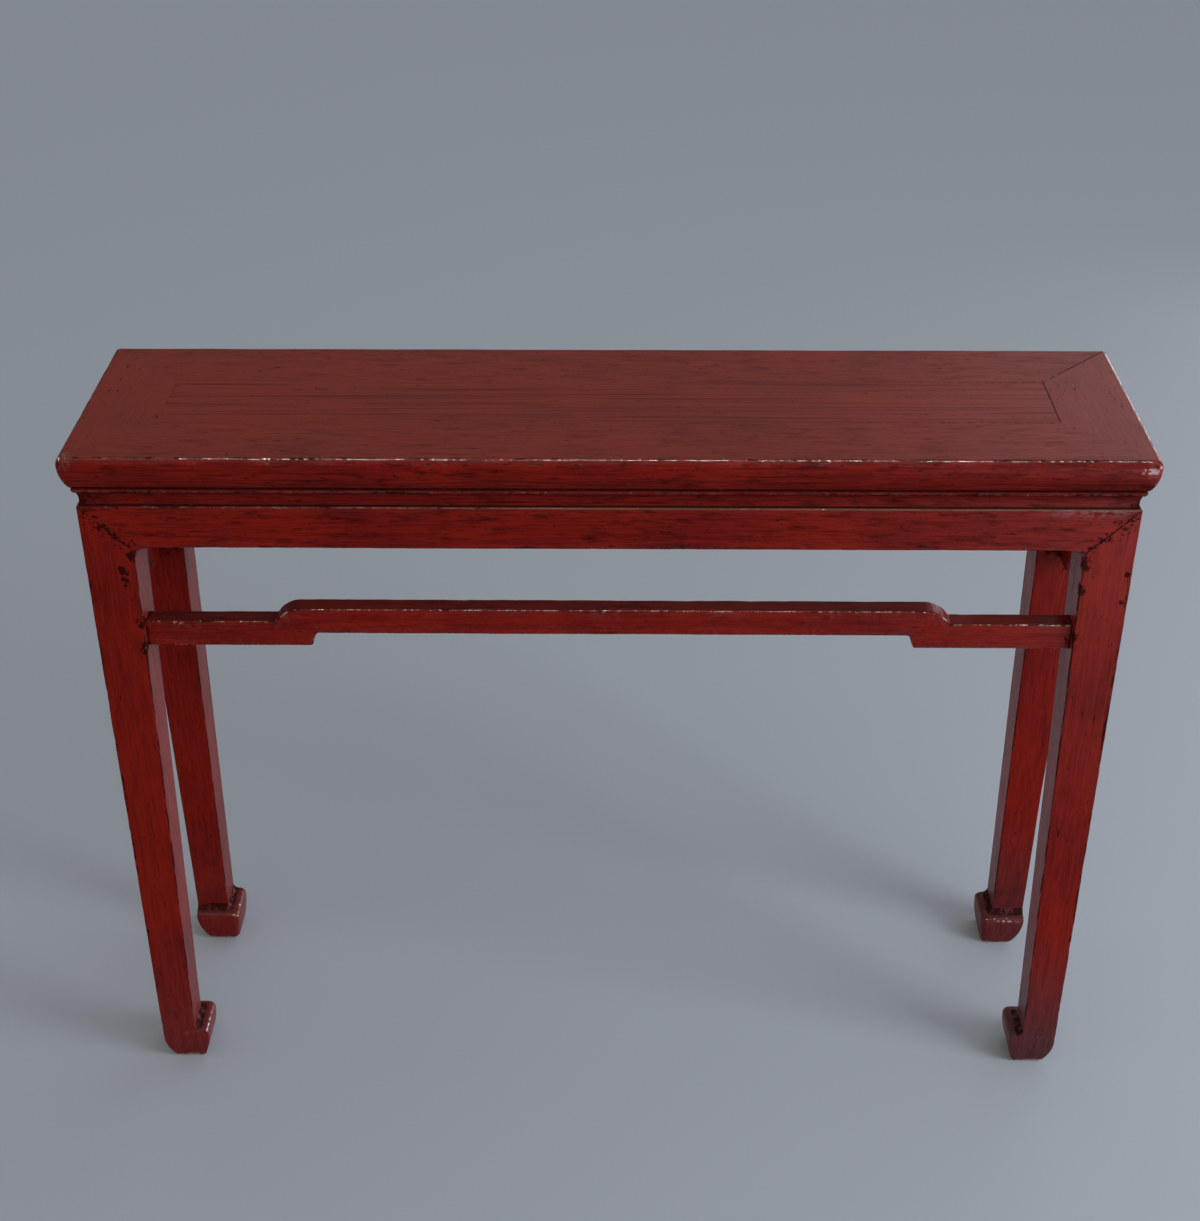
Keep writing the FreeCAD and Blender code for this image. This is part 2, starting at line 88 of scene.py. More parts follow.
def length(name, description, default_mm):
    """A length setting, given in millimetres."""
    return FloatProperty(name=name, description=description, default=default_mm * MM, min=0.0, unit="LENGTH")


def number(name, description, default, unit="NONE"):
    """A setting that isn't a length in millimetres."""
    return FloatProperty(name=name, description=description, default=default, unit=unit)


def colour(name, description, hex_value):
    """A colour setting, given as an sRGB hex value."""
    return FloatVectorProperty(name=name, description=description, default=linear(hex_value), size=4,
                               min=0.0, max=1.0, subtype="COLOR")


class TopSizes(bpy.types.PropertyGroup):
    """Sizes of the top frame's moulded edge, the panel's joint, the waist and the aprons."""
    frame_width: length("Frame width", "Width of the mitred frame round the panel", 90.0)
    bulge_depth: length("Bulge depth", "From the top down to the edge's widest line", 11.0)
    arris_inset: length("Arris inset", "How far in from the widest line the top arris starts", 3.2)
    arris_drop: length("Arris drop", "Height of the rounding at the top arris", 1.9)
    arris_flat: length("Arris width", "Width of the rounding at the top arris", 3.4)
    quirk_inset: length("Quirk inset", "How far in the cut under the bulge lies", 10.0)
    quirk_depth: length("Quirk depth", "From the top down to the cut under the bulge", 38.5)
    quirk_cut: length("Quirk cut", "How deep the cut goes in", 1.5)
    bead_gap: length("Quirk width", "Height of the cut between the bulge and the bead", 2.0)
    underside_inset: length("Underside inset", "How far in the bead ends at the underside", 14.3)
    joint_gap: length("Joint gap", "Open joint round the panel", 0.05)
    corner_round: length("Corner rounding", "Radius of the top's worn corners", 8.0)
    lip_round: length("Lip rounding", "Radius of the aprons' upper edge", 1.2)
    # How far the top is dulled by dust together with a painted pale reflection
    top_dulling_by_dust_and_reflection: number("Dulling", "How far the top is dulled", 0.45)
    waist_setback: length("Waist setback", "How far the waist lies behind the aprons", 2.0)
    waist_hollow: length("Waist hollow", "Depth of the hollow along the waist", 1.6)
    apron_sweep: length("Apron sweep", "Length of the curve from an apron's lower edge to the leg", 26.0)
    apron_bottom: length("Apron height", "Height of the aprons' lower edge above the floor", 738.5)


class LegSizes(bpy.types.PropertyGroup):
    """Sizes of the legs and their hoof feet."""
    top_width: length("Top width", "Width of a leg at its shoulder", 54.0)
    ankle_width: length("Ankle width", "Width of a leg just above the foot", 41.0)
    lean: length("Lean", "How far the feet stand out at the front and back", 9.0)
    heel_height: length("Heel height", "Height of the curve under the outer faces", 36.0)
    heel_reach: length("Heel reach", "How far that curve goes in at the floor, on the end faces", 14.0)
    face_heel_reach: length("Face heel reach", "How far it goes in on the front and back faces", 4.0)
    toe_height: length("Toe height", "Height of the ledge on the toe", 46.0)
    toe_reach: length("Toe reach", "How far the toe stands out from the ankle", 16.0)
    toe_round: length("Toe rounding", "Radius at the toe's upper tip", 7.0)
    toe_corner: length("Toe corner", "Radius of the corner between a foot's two toes", 8.0)
    toe_return: length("Toe return", "How far the toe draws back at the floor", 10.0)
    base_round: length("Base rounding", "Radius round the sole", 3.5)
    back_heel_height: length("Back heel height", "Height of the curve under the back legs' outer faces", 46.0)
    back_heel_reach: length("Back heel reach", "How far that curve goes in at the floor", 16.0)
    back_toe_return: length("Back toe return", "How far a back leg's toe draws back at the floor", 5.0)


class StretcherSizes(bpy.types.PropertyGroup):
    """Sizes of the humpback stretchers."""
    bar_height: length("Bar height", "Height of a stretcher", 31.0)
    hump_rise: length("Hump rise", "How far the middle is raised", 16.0)
    hump_run: length("Shoulder run", "Length over which the top falls from the hump", 10.0)
    hump_round: length("Shoulder radius", "Radius at the top of the shoulder", 29.0)
    kink_round: length("Kink radius", "Radius where the shoulder meets the low end", 3.0)
    step_run: length("Step run", "Length over which the underside drops", 5.0)
    step_round: length("Step radius", "Radius at the underside's step", 4.0)
    front_hump: length("Long hump", "Half length of the long stretchers' hump", 367.0)
    front_step: length("Long step", "Half length of the long stretchers' raised underside", 324.0)
    front_shift: length("Hump shift", "How far the long humps sit to the right", 5.0)
    side_hump: length("Short hump", "Half length of the short stretchers' hump", 52.0)
    side_step: length("Short step", "Half length of the short stretchers' raised underside", 38.0)
    front_half: length("Long half", "Half length of the long stretchers", 507.0)
    side_half: length("Short half", "Half length of the short stretchers", 80.0)


class WearSizes(bpy.types.PropertyGroup):
    """How rubbed, knocked and uneven the hand-planed wood is."""
    arris: length("Rubbed arris", "Radius of the rubbed edges of legs, aprons and stretchers", 1.5)
    seam: length("Seam", "Radius of the edges where two pieces meet", 0.45)
    waver: length("Waver", "How far a planed face strays from flat", 0.22)
    waver_reach: length("Waver reach", "Distance from one rise of a planed face to the next", 70.0)
    nick: length("Nick", "Depth of the knocks along an arris", 0.9)
    nick_reach: length("Nick reach", "Length of one knock along an arris", 13.0)
    step: length("Mesh step", "Distance between cross sections along a piece", 7.0)


class FinishColours(bpy.types.PropertyGroup):
    """Colours of the lacquer, what lies under it, and the bare wood."""
    # How far the top is dulled by dust together with a painted pale reflection
    top_dulling_by_dust_and_reflection: number("Dulling", "How far the top is dulled", 0.45)
    red: colour("Red lacquer", "Deep red top coat", "#981D0F")
    bright: colour("Bright lacquer", "Where the top coat is thick and well rubbed", "#A61F0F")
    shade: colour("Dark lacquer", "Where the top coat is thin over the dark ground", "#7B140D")
    # Also the colour of the painted shade under the moulding, in the hollows and crevices, and of the painted
    # shadows on the back legs
    ground: colour("Ground", "Dark ground coat and dirt that show where the red has gone", "#160C0B")
    # Dirt together with painted shade, where the top shades the stretchers' and toes' upward faces
    dull: colour("Dulled lacquer", "Red lacquer under dirt, on the stretchers' upward faces", "#5A1A15")
    # Dust together with a painted pale reflection of the room, on the top's upward faces
    dust: colour("Dusty lacquer", "Rubbed red lacquer under fine dust, on the top", "#843D30")
    scuff: colour("Scuffed lacquer", "Lacquer scuffed by brooms and shoes, on the feet", "#5B393D")
    # Also the pale line on the aprons' lip, which is worn lacquer together with a painted highlight
    bare: colour("Bare wood", "Wood at the worst knocks", "#A98A6C")
    deal: colour("Planed wood", "Unfinished wood of the battens and pegs", "#8B6B49")


class StageSettings(bpy.types.PropertyGroup):
    """Floor, light and camera."""
    floor: colour("Floor", "Pale floor", "#C4CBD5")
    sky_left: colour("Left sky", "Soft light from the left, warm and dim", "#938D82")
    sky_right: colour("Right sky", "Soft light from the right, cool and bright", "#C8CED6")
    sky_strength: number("Sky strength", "Brightness of the soft light", 0.9)
    eye: FloatVectorProperty(name="Camera place", description="Where the camera stands",
                             default=(0.015826, -1.853864, 1.739464), size=3, subtype="XYZ", unit="LENGTH")
    yaw: number("Yaw", "Camera's turn to the right", -0.01392, "ROTATION")
    pitch: number("Pitch", "Camera's tilt down", 0.55792, "ROTATION")
    roll: number("Roll", "Camera's turn about its own line", -0.003127, "ROTATION")
    lens: number("Focal length", "Focal length on a 36 mm sensor, in millimetres", 55.6)
    floor_size: number("Floor size", "Side of the floor", 60.0, "LENGTH")


# Drawing and cutting with bmesh

def line_to(bm, vert, *points):
    """Draws straight strokes from a vertex through points (way in, height) of its section."""
    for inward, height in points:
        made = bmesh.ops.extrude_vert_indiv(bm, verts=[vert])["verts"][0]
        made.co = (vert.co.x, inward, height)
        vert = made
    return vert


def arc_to(bm, vert, centre, angle, steps):
    """Turns a vertex about a centre in the cross section, drawing an arc."""
    turned = bmesh.ops.spin(bm, geom=[vert], cent=centre, axis=LENGTHWAYS, angle=angle, steps=steps)
    return next(item for item in turned["geom_last"] if isinstance(item, bmesh.types.BMVert))


def tangent_arc(bm, vert, end, steps, level=False):
    """Draws an arc to a point (way in, height), straight up or down from a vertex, or level."""
    run, rise = end[0] - vert.co.y, end[1] - vert.co.z
    square = run * run + rise * rise
    if level:
        radius = square / (2 * abs(rise))
        centre = (vert.co.x, vert.co.y, vert.co.z - radius)
        turn = -math.copysign(math.asin(min(1.0, abs(run) / radius)), run)
    else:
        radius = square / (2 * run)
        centre = (vert.co.x, vert.co.y + radius, vert.co.z)
        turn = -math.copysign(math.asin(min(1.0, abs(rise) / abs(radius))), rise) * math.copysign(1.0, radius)
    last = arc_to(bm, vert, centre, turn, steps)
    last.co = (vert.co.x, *end)
    return last


def close_face(bm):
    """Joins the strokes into one outline and fills it."""
    bmesh.ops.remove_doubles(bm, verts=bm.verts, dist=10 * WELD)
    return bmesh.ops.contextual_create(bm, geom=bm.edges[:])["faces"][0]


def bevel_corners(bm, verts, offset, segments):
    """Rounds corners of a flat outline."""
    bmesh.ops.bevel(bm, geom=verts, offset=offset, offset_type="OFFSET", segments=segments, profile=0.5,
                    affect="VERTICES", material=-1)


def rounded_rectangle(bm, matrix, radius, cuts):
    """A flat rectangle with rounded corners, and a few points along its sides."""
    bmesh.ops.create_grid(bm, x_segments=1, y_segments=1, size=0.5, matrix=matrix)
    bevel_corners(bm, bm.verts[:], radius, 4)
    sides = [edge for edge in bm.edges if edge.calc_length() > 2 * radius]
    bmesh.ops.bisect_edges(bm, edges=sides, cuts=cuts)
    return bm.faces[:][0]


def resized(x, y, z=1.0):
    """The matrix that scales along the three axes."""
    return Matrix.Diagonal((x, y, z, 1.0))


def block(bm, low, high):
    """A box between two corners."""
    matrix = Matrix.Translation((low + high) / 2) @ resized(*(high - low))
    bmesh.ops.create_cube(bm, size=1.0, matrix=matrix)


def pull(bm, face, shift):
    """Extrudes a face, and returns the far face with its vertices."""
    made = bmesh.ops.extrude_face_region(bm, geom=[face, *face.edges, *face.verts])["geom"]
    verts = [item for item in made if isinstance(item, bmesh.types.BMVert)]
    bmesh.ops.translate(bm, verts=verts, vec=shift)
    return next(item for item in made if isinstance(item, bmesh.types.BMFace)), verts


def pull_along(bm, face, half):
    """Extrudes a cross section from one end of a piece to the other."""
    pull(bm, face, (2 * half, 0.0, 0.0))


def cut(bm, point, normal, **clear):
    """Cuts with a plane, and returns the edges of the cut."""
    made = bmesh.ops.bisect_plane(bm, geom=bm.verts[:] + bm.edges[:] + bm.faces[:], dist=WELD,
                                  plane_co=point, plane_no=normal, **clear)["geom_cut"]
    return [item for item in made if isinstance(item, bmesh.types.BMEdge)]


def slice_at(bm, places, normal):
    """Adds a ring of edges in each of several parallel planes."""
    for place in places:
        cut(bm, Vector(normal) * place, normal)


def slices(low, high, step):
    """Even places between two ends, about a step apart."""
    count = max(1, round((high - low) / step))
    return [low + (high - low) * index / count for index in range(1, count)]


def even_slices(half, ends, step, fine):
    """Places along a piece, closer together over its two ends."""
    middle = half - ends
    end_places = [middle] + slices(middle, half, fine)
    return [-place for place in end_places] + slices(-middle, middle, step) + end_places


def saw(bm, point, normal):
    """Cuts away what lies past a plane and closes the cut."""
    bmesh.ops.holes_fill(bm, edges=cut(bm, point, normal, clear_outer=True), sides=0)


def saw_ends(bm, half):
    """Mitres both ends of a piece, to meet its neighbours at the corners."""
    for end in (-1.0, 1.0):
        saw(bm, (end * half, 0.0, 0.0), (end, 1.0, 0.0))


def saw_mitre(bm, point, normal, outward, seam):
    """Cuts a mitre, and eases its edge on the face that looks outward."""
    normal = Vector(normal).normalized()
    saw(bm, point, normal)
    saw(bm, Vector(point) - normal * seam, normal + Vector(outward))


def unsettle(bm, wear):
    """Lets the planed faces waver a little, as hand work does."""
    bm.normal_update()
    for vert in bm.verts:
        place = vert.co / wear.waver_reach
        shift = noise.noise(place) + 0.5 * noise.noise(place * 2.7)
        vert.co += vert.normal * wear.waver * shift


def knock(bm, wear, wanted, depth_share=1.0):
    """Presses short knocks into the vertices of an arris."""
    bm.normal_update()
    for vert in bm.verts:
        if wanted(vert.co):
            place = vert.co / wear.nick_reach
            depth = max(0.0, noise.noise(place) - 0.05) + 0.4 * max(0.0, noise.noise(place * 3.1) - 0.1)
            vert.co -= vert.normal * wear.nick * depth * depth_share


def round_corners(bm, half_x, half_y, radius):
    """Rounds the upright corners of the top."""
    for vert in bm.verts:
        past_x = abs(vert.co.x) - (half_x - radius)
        past_y = abs(vert.co.y) - (half_y - radius)
        if past_x > 0.0 and past_y > 0.0:
            share = max(past_x, past_y) / math.hypot(past_x, past_y)
            vert.co.x = math.copysign(half_x - radius + past_x * share, vert.co.x)
            vert.co.y = math.copysign(half_y - radius + past_y * share, vert.co.y)


def side_span(side, halves):
    """(grain axis, half length, distance out) of a piece along one side of the table."""
    return ("Y", *reversed(halves)) if side in ("left", "right") else ("X", *halves)


def put_on_side(bm, side, reach):
    """Moves a piece from its own frame to a side of the table."""
    turn = Matrix.Rotation(TURNS[side], 4, "Z")
    bmesh.ops.transform(bm, matrix=turn @ Matrix.Translation((0.0, -reach, 0.0)), verts=bm.verts)


# An edge turns by more than SOFT degrees on an arris, fully by SOFT + FULL, and a turn past
# JOINT degrees is the square edge of a joint
SOFT, FULL, JOINT = 9.0, 5.0, 42.0
SHARP = math.radians(38.0)


def mark_arrises(bm):
    """Records on each vertex how much it stands on a rounded arris, or lies in a hollow.
    The square edges of the joints are neither."""
    arris = bm.verts.layers.float.new("arris")
    hollow = bm.verts.layers.float.new("hollow")
    for vert in bm.verts:
        turns = [math.degrees(edge.calc_face_angle_signed(0.0)) for edge in vert.link_edges]
        if turns and max(turns) < JOINT:
            vert[arris] = max(0.0, min(1.0, (max(turns) - SOFT) / FULL))
            vert[hollow] = max(0.0, min(1.0, (-min(turns) - SOFT) / FULL))


def new_object(name, bm, material):
    """Turns a bmesh into an object of one material, and puts it in the scene."""
    mesh = bpy.data.meshes.new(name)
    bm.to_mesh(mesh)
    bm.free()
    mesh.materials.append(material)
    made = bpy.data.objects.new(name, mesh)
    bpy.context.scene.collection.objects.link(made)
    return made


def finish_piece(bm, name, node, material):
    """Turns a bmesh into a piece that stands for a CAD node and rides on its body."""
    bmesh.ops.remove_doubles(bm, verts=bm.verts, dist=2 * WELD)
    bmesh.ops.recalc_face_normals(bm, faces=bm.faces)
    mark_arrises(bm)
    piece = new_object(name, bm, material)
    piece.data.polygons.foreach_set("use_smooth", [True] * len(piece.data.polygons))
    piece.data.set_sharp_from_angle(angle=SHARP)
    piece.modifiers.new("Face weighted normals", "WEIGHTED_NORMAL").keep_sharp = True
    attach(piece, "root")
    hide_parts(node)


# Materials

def add(tree, kind, *values, named=None, **settings):
    """Adds a node of a kind, such as "Math ADD", where the second word is its mode. The
    values go to its inputs in use, in their order, or by name. A value that is a node is
    linked from its first output in use, a socket is linked as it is, and None leaves an
    input alone."""
    kind, *mode = kind.split()
    made = tree.nodes.new("ShaderNode" + kind)
    for word in mode:
        setattr(made, "data_type" if kind == "Mix" else "operation", word)
    for name, value in settings.items():
        setattr(made, name, value)
    inputs = list(zip([socket for socket in made.inputs if socket.enabled], values))
    inputs += [(made.inputs[name], value) for name, value in (named or {}).items()]
    for socket, value in inputs:
        if isinstance(value, bpy.types.Node):
            value = next(output for output in value.outputs if output.enabled)
        if isinstance(value, bpy.types.NodeSocket):
            tree.links.new(value, socket)
        elif value is not None:
            socket.default_value = value
    return made


def empty_material(name):
    """A material without nodes, and the function that adds them."""
    material = bpy.data.materials.new(name)
    material.use_nodes = True
    material.node_tree.nodes.clear()
    return material, partial(add, material.node_tree)


def grain_scale(along, size_mm):
    """The scale of noise drawn out along the grain, for marks of a (length, width)."""
    scale = [1.0 / (size_mm[1] * MM)] * 3
    scale["XYZ".index(along)] = 1.0 / (size_mm[0] * MM)
    return scale


def greatest(add, masks):
    """The greatest of several masks."""
    result = masks[0]
    for mask in masks[1:]:
        result = add("Math MAXIMUM", result, mask)
    return result


# How dark a mark is where it is fully there
MARKED = 0.85


def seam_masks(add, place, corner, ragged, blotches, seams):
    """Dark lines where pieces meet, and painted shadow lines in the moulding's crevices. Each
    seam is (normal, offset, line mm, blotch mm, bias, start): a plane in the mirrored
    quarter, the width of its line, how far blotches reach beside it, how the line grows
    stronger across the table, and where it starts to show."""
    masks = []
    waver = 1.6 * MM
    for normal, offset, line, reach, bias, start in seams:
        along = add("VectorMath DOT_PRODUCT", corner, Vector(normal).normalized())
        shift = add("Math MULTIPLY_ADD", ragged, waver, -offset - waver / 2)
        away = add("Math ABSOLUTE", add("Math ADD", along, shift))
        lean = add("VectorMath DOT_PRODUCT", place, bias)
        strength = add("Math ADD", lean, ragged)
        on_line = add("MapRange", away, line * MM, line * 0.3 * MM)
        kept = add("MapRange", strength, start, start + 0.1, 0.0, MARKED)
        masks.append(add("Math MULTIPLY", on_line, kept))
        if reach:
            near = add("MapRange", away, reach * MM, 0.0, 0.0, 0.25)
            broken = add("Math ADD", near, blotches)
            masks.append(add("MapRange", broken, 0.74, 0.8, 0.0, MARKED))
    return masks


def spot_masks(add, place, ragged, spots):
    """Ragged patches round points. Each spot is (point, reach mm, softness), and a soft one
    fades away slowly."""
    masks = []
    for centre, reach, softness in spots:
        away = add("VectorMath DISTANCE", place, centre)
        near = add("MapRange", away, reach * MM, 0.0)
        uneven = add("Math MULTIPLY_ADD", ragged, 3.0, -0.9)
        broken = add("Math MULTIPLY", near, uneven)
        masks.append(add("MapRange", broken, 0.2, 0.2 + softness, 0.0, MARKED))
    return masks


def old_lacquer(part, along, colours, top_dust_and_reflection=False, streak=0.45, streak_mm=(70, 2.2), calm=0.0, thin=0.0,
                smudged=0.0, scratched=0.635, rubbed=0.47, chipped=0.66, gloss=1.0, seams=(), spots=(),
                glints=(), lip=False, leg=False):
    """Red lacquer over a dark ground coat on wood, brushed along the grain and rubbed by
    long use. It shows as a satin deep red with faint streaks, near black marks at the
    arrises and joints, and small bright glints where a knocked arris is polished. Faces
    that look down are painted darker as shade, hollows are darkened by dirt with painted
    shade, and upward faces are dulled: on the top by dust with a painted pale reflection,
    elsewhere by dirt with painted shade. On the aprons' lip a thin pale line is worn
    lacquer with a painted highlight. Calm is how smooth the upward faces are rubbed, and
    thin how much of the dark ground shows through, which on the waist is painted shade in
    its recess. Less of scratched, rubbed and chipped gives more dark scratches, dark
    arrises and bare arrises."""
    name = "Old red lacquer, " + part
    material = bpy.data.materials.get(name)
    if material:
        return material
    material, add = empty_material(name)
    place = add("TexCoord").outputs["Object"]
    axes = add("SeparateXYZ", place).outputs
    corner = add("VectorMath ABSOLUTE", place)
    facing = add("SeparateXYZ", add("NewGeometry").outputs["Normal"]).outputs
    lying = add("MapRange", facing["Z"], 0.5, 0.95)
    still = add("MapRange", lying, 0.0, 1.0, 1.0, 1.0 - calm)
    arris = add("Attribute", attribute_name="arris").outputs["Fac"]
    hollow = add("Attribute", attribute_name="hollow").outputs["Fac"]

    # Marks along the grain, each of a (length, width) in millimetres, a detail and a roughness
    sizes = ((streak_mm, 3.0, 0.65), ((18, 3), 3.0, 0.7), ((45, 10), 4.0, 0.75), ((38, 7), 4.0, 0.7),
             ((45, 1.4), 2.0, 0.5))
    streaks, flecks, smears, strips, fibres = (
        add("TexNoise", add("Mapping", place, None, None, grain_scale(along, size)), 1.0, detail, rough)
        for size, detail, rough in sizes)
    # Clouds of thicker and thinner lacquer, about 120 mm across
    cloud = add("TexNoise", place, 1 / (120 * MM), 3.0)
    # thin pulls the red towards the dark lacquer; on the waist this is painted shade
    tone = add("MapRange", cloud, 0.3, 0.6, 0.0, 1.0 - thin)
    # Brush and grain streaks
    streak_dark = add("Math MULTIPLY", add("MapRange", streaks, 0.5, 0.75, 0.0, streak), still)
    # Faces that look down are painted darker in streaks, as shade
    hanging = add("MapRange", facing["Z"], -0.2, -0.32)
    painted_under_shade = add("Math MULTIPLY", add("MapRange", streaks, 0.4, 0.66, 0.0, 0.6), hanging)
    # Ragged marks of all sizes up to 10 mm break every worn line, blotches are about 4.5 mm
    ragged = add("TexNoise", place, 1 / (10 * MM), 4.0, 0.7)
    blotches = add("TexNoise", place, 1 / (4.5 * MM), 2.0, 0.6)
    # Short dark scratches where the red has gone
    marks = add("Math MULTIPLY_ADD", lying, -0.03, flecks)
    mark_dark = add("MapRange", marks, scratched, scratched + 0.065, 0.0, 0.75)
    # Faint brown smudges
    smudge_dark = add("Math MULTIPLY", add("MapRange", smears, 0.5, 0.7, 0.0, smudged), still)
    # Specks, 2 mm across
    speck_dark = add("MapRange", blotches, 0.715, 0.755, 0.0, 0.75)
    # Arrises are rubbed to the dark ground in strips, and the hollows are darkened by dirt together with
    # painted shade
    worn = arris
    if leg:
        # The toes' round corners keep their red
        above_toe = add("MapRange", axes["Z"], 55 * MM, 80 * MM)
        worn = add("Math MULTIPLY", arris, above_toe)
    rubbed_dark = add("MapRange", add("Math MULTIPLY", worn, strips), rubbed, rubbed + 0.09, 0.0, 0.85)
    dirt = add("Math MULTIPLY", hollow, ragged)
    hollow_dirt_and_shade = add("MapRange", dirt, 0.36 if leg else 0.3, 0.5, 0.0, 0.8)
    dark = greatest(add, [streak_dark, painted_under_shade, mark_dark, smudge_dark, speck_dark, rubbed_dark, hollow_dirt_and_shade]
                    + seam_masks(add, place, corner, ragged, blotches, seams)
                    + spot_masks(add, place, ragged, spots))

    red = add("Mix RGBA", tone, colours.shade, colours.red)
    thick = add("MapRange", streaks, 0.5, 0.25, 0.0, 0.8 * (1.0 - thin))
    red = add("Mix RGBA", thick, red, colours.bright)
    # Upward faces are dulled: on the top by dust together with a painted pale reflection of the room,
    # elsewhere, on the stretchers' tops and the toes, by dirt together with painted shade from the parts
    # above
    dull = add("Math MULTIPLY", lying, colours.top_dulling_by_dust_and_reflection if top_dust_and_reflection else 0.5)
    red = add("Mix RGBA", dull, red, colours.dust if top_dust_and_reflection else colours.dull)
    # The sharpest knocks go through to bare wood
    through = add("Math MULTIPLY", arris, blotches)
    bare = add("MapRange", through, chipped, chipped + 0.04, 0.0, 0.8)
    if lip:
        # A thin pale line, broken at the left, painted along the lip: its lacquer worn away, together with a
        # painted highlight on its rounded edge
        lip_wear_and_highlight = add("MapRange", axes["Z"], APRON_HIGH.z - 1.4 * MM, APRON_HIGH.z - 0.9 * MM, 0.0, 0.36)
        shown = add("Math MULTIPLY_ADD", axes["X"], 0.5, ragged)
        line = add("Math MULTIPLY", lip_wear_and_highlight, add("MapRange", shown, 0.29, 0.42))
        bare = greatest(add, [bare, line])
    if leg:
        # The feet are scuffed near the floor, most at the front right, and their soles are chipped
        right_front = add("VectorMath DOT_PRODUCT", place, (1.0, -3.0, 0.0))
        most = add("MapRange", right_front, -0.5, 0.92, 0.25, 0.9)
        knee = add("Math MULTIPLY_ADD", ragged, 90 * MM, axes["Z"])
        low = add("MapRange", knee, 260 * MM, 60 * MM, 0.0, most)
        red = add("Mix RGBA", low, red, colours.scuff)
        sole = add("Math MULTIPLY", add("MapRange", axes["Z"], 13 * MM, 0.0), ragged)
        bare = greatest(add, [bare, add("MapRange", sole, 0.34, 0.4)])
    paint = add("Mix RGBA", dark, red, colours.ground)
    paint = add("Mix RGBA", bare, paint, colours.bare)

    # Relief: grain lines under the lacquer, and worn places a little lower
    relief = add("Math ADD", fibres, blotches)
    relief = add("Math SUBTRACT", relief, dark)
    bump = add("Bump", named={"Height": relief, "Distance": 0.16 * MM, "Strength": 0.8})
    rough = add("MapRange", dark, 0.0, 1.0, add("MapRange", lying, 0.0, 1.0, 0.4, 0.45), 0.6)
    polish = add("MapRange", blotches, 0.46, 0.55, 0.0, gloss)
    polish = [add("Math MULTIPLY", polish, arris)] + spot_masks(add, place, blotches, glints)
    # Lying faces are a little shinier than standing ones
    shine = add("MapRange", lying, 0.0, 1.0, 0.08, 0.12)
    if leg:
        # The inner side faces keep most of their shine, and the toes' ledges are polished by feet
        inner = add("Math MULTIPLY", facing["X"], axes["X"])
        shine = add("MapRange", inner, -0.3, -0.45, shine, 0.42)
        ledge = add("Math ABSOLUTE", add("Math ADD", axes["Z"], -42 * MM))
        ledge = add("MapRange", ledge, 5 * MM, 2 * MM)
        polish.append(add("Math MULTIPLY", ledge, add("MapRange", blotches, 0.55, 0.6)))
    # Dark marks, with their dirt and painted shade, and bared ground are dull
    shine = add("MapRange", dark, 0.0, 0.8, shine, 0.02)
    shader = add("BsdfPrincipled", named={
        "Base Color": paint, "Roughness": rough, "Normal": bump, "IOR": 1.5, "Specular IOR Level": shine,
        "Coat Weight": greatest(add, polish), "Coat Roughness": 0.08})
    shader.inputs["Base Color"].default_value = colours.red
    shader.inputs["Specular IOR Level"].default_value = 0.1
    add("OutputMaterial", shader)
    return material


def planed_deal(name, along, colours):
    """Unfinished softwood, planed: pale brown, dry, with rings about 5 mm apart."""
    material = bpy.data.materials.get(name)
    if material:
        return material
    material, add = empty_material(name)
    place = add("TexCoord").outputs["Object"]
    rings = add("TexNoise", add("Mapping", place, None, None, grain_scale(along, (120, 5))), 1.0, 5.0)
    rings.inputs["Distortion"].default_value = 0.6
    light = [channel * 1.25 for channel in colours.deal[:3]] + [1.0]
    dim = [channel * 0.6 for channel in colours.deal[:3]] + [1.0]
    wood = add("Mix RGBA", rings, dim, light)
    bump = add("Bump", named={"Height": rings, "Distance": 0.2 * MM, "Strength": 0.5})
    shader = add("BsdfPrincipled", named={"Base Color": wood, "Roughness": 0.72, "Normal": bump,
                                          "Specular IOR Level": 0.3})
    shader.inputs["Base Color"].default_value = colours.deal
    add("OutputMaterial", shader)
    return material


# Seams of the mirrored quarter of the table, see seam_masks
EVEN = (0.0, 0.0, 0.0)
ROOT_HALF = math.sqrt(0.5)
TOP_MITRE = ((1.0, -1.0, 0.0), (FRAME_HIGH.x + FRAME_LOW.y) * ROOT_HALF, 1.2, 0.0, (0.2, 1.0, 0.0), 0.56)
FRONT_MITRE = ((1.0, 0.0, -1.0), (-LEG_LOW.x - APRON_HIGH.z) * ROOT_HALF, 1.3, 18.0, EVEN, 0.38)
SIDE_MITRE = ((0.0, 1.0, -1.0), (-APRON_LOW.y - APRON_HIGH.z) * ROOT_HALF, 1.3, 18.0, EVEN, 0.38)
LONG_JOINT = (INWARD, PANEL_HIGH.y - TONGUE, 1.1, 0.0, (0.6, 0.1, 0.0), 0.68)
END_JOINT = (LENGTHWAYS, PANEL_HIGH.x - TONGUE, 1.2, 0.0, (0.2, 0.0, 0.0), 0.44)
FRONT_BAR_JOINT = (LENGTHWAYS, 0.5045, 1.5, 17.0, EVEN, 0.2)
SIDE_BAR_JOINT = (INWARD, 0.0765, 1.5, 17.0, EVEN, 0.2)
# Dark lines in the moulding's crevices: the quirk's is dirt together with painted shade, the one along the
# joint under the bead and the one at the waist's foot above the apron's lip are painted shadow
QUIRK_DIRT_AND_SHADE = (UPWARD, FRAME_HIGH.z - 38.5 * MM, 3.6, 0.0, EVEN, 0.3)
BEAD_JOINT_SHADOW = (UPWARD, FRAME_LOW.z + 0.4 * MM, 1.8, 0.0, EVEN, 0.36)
WAIST_LIP_SHADOW = (UPWARD, APRON_HIGH.z + 0.8 * MM, 2.0, 0.0, EVEN, 0.25)

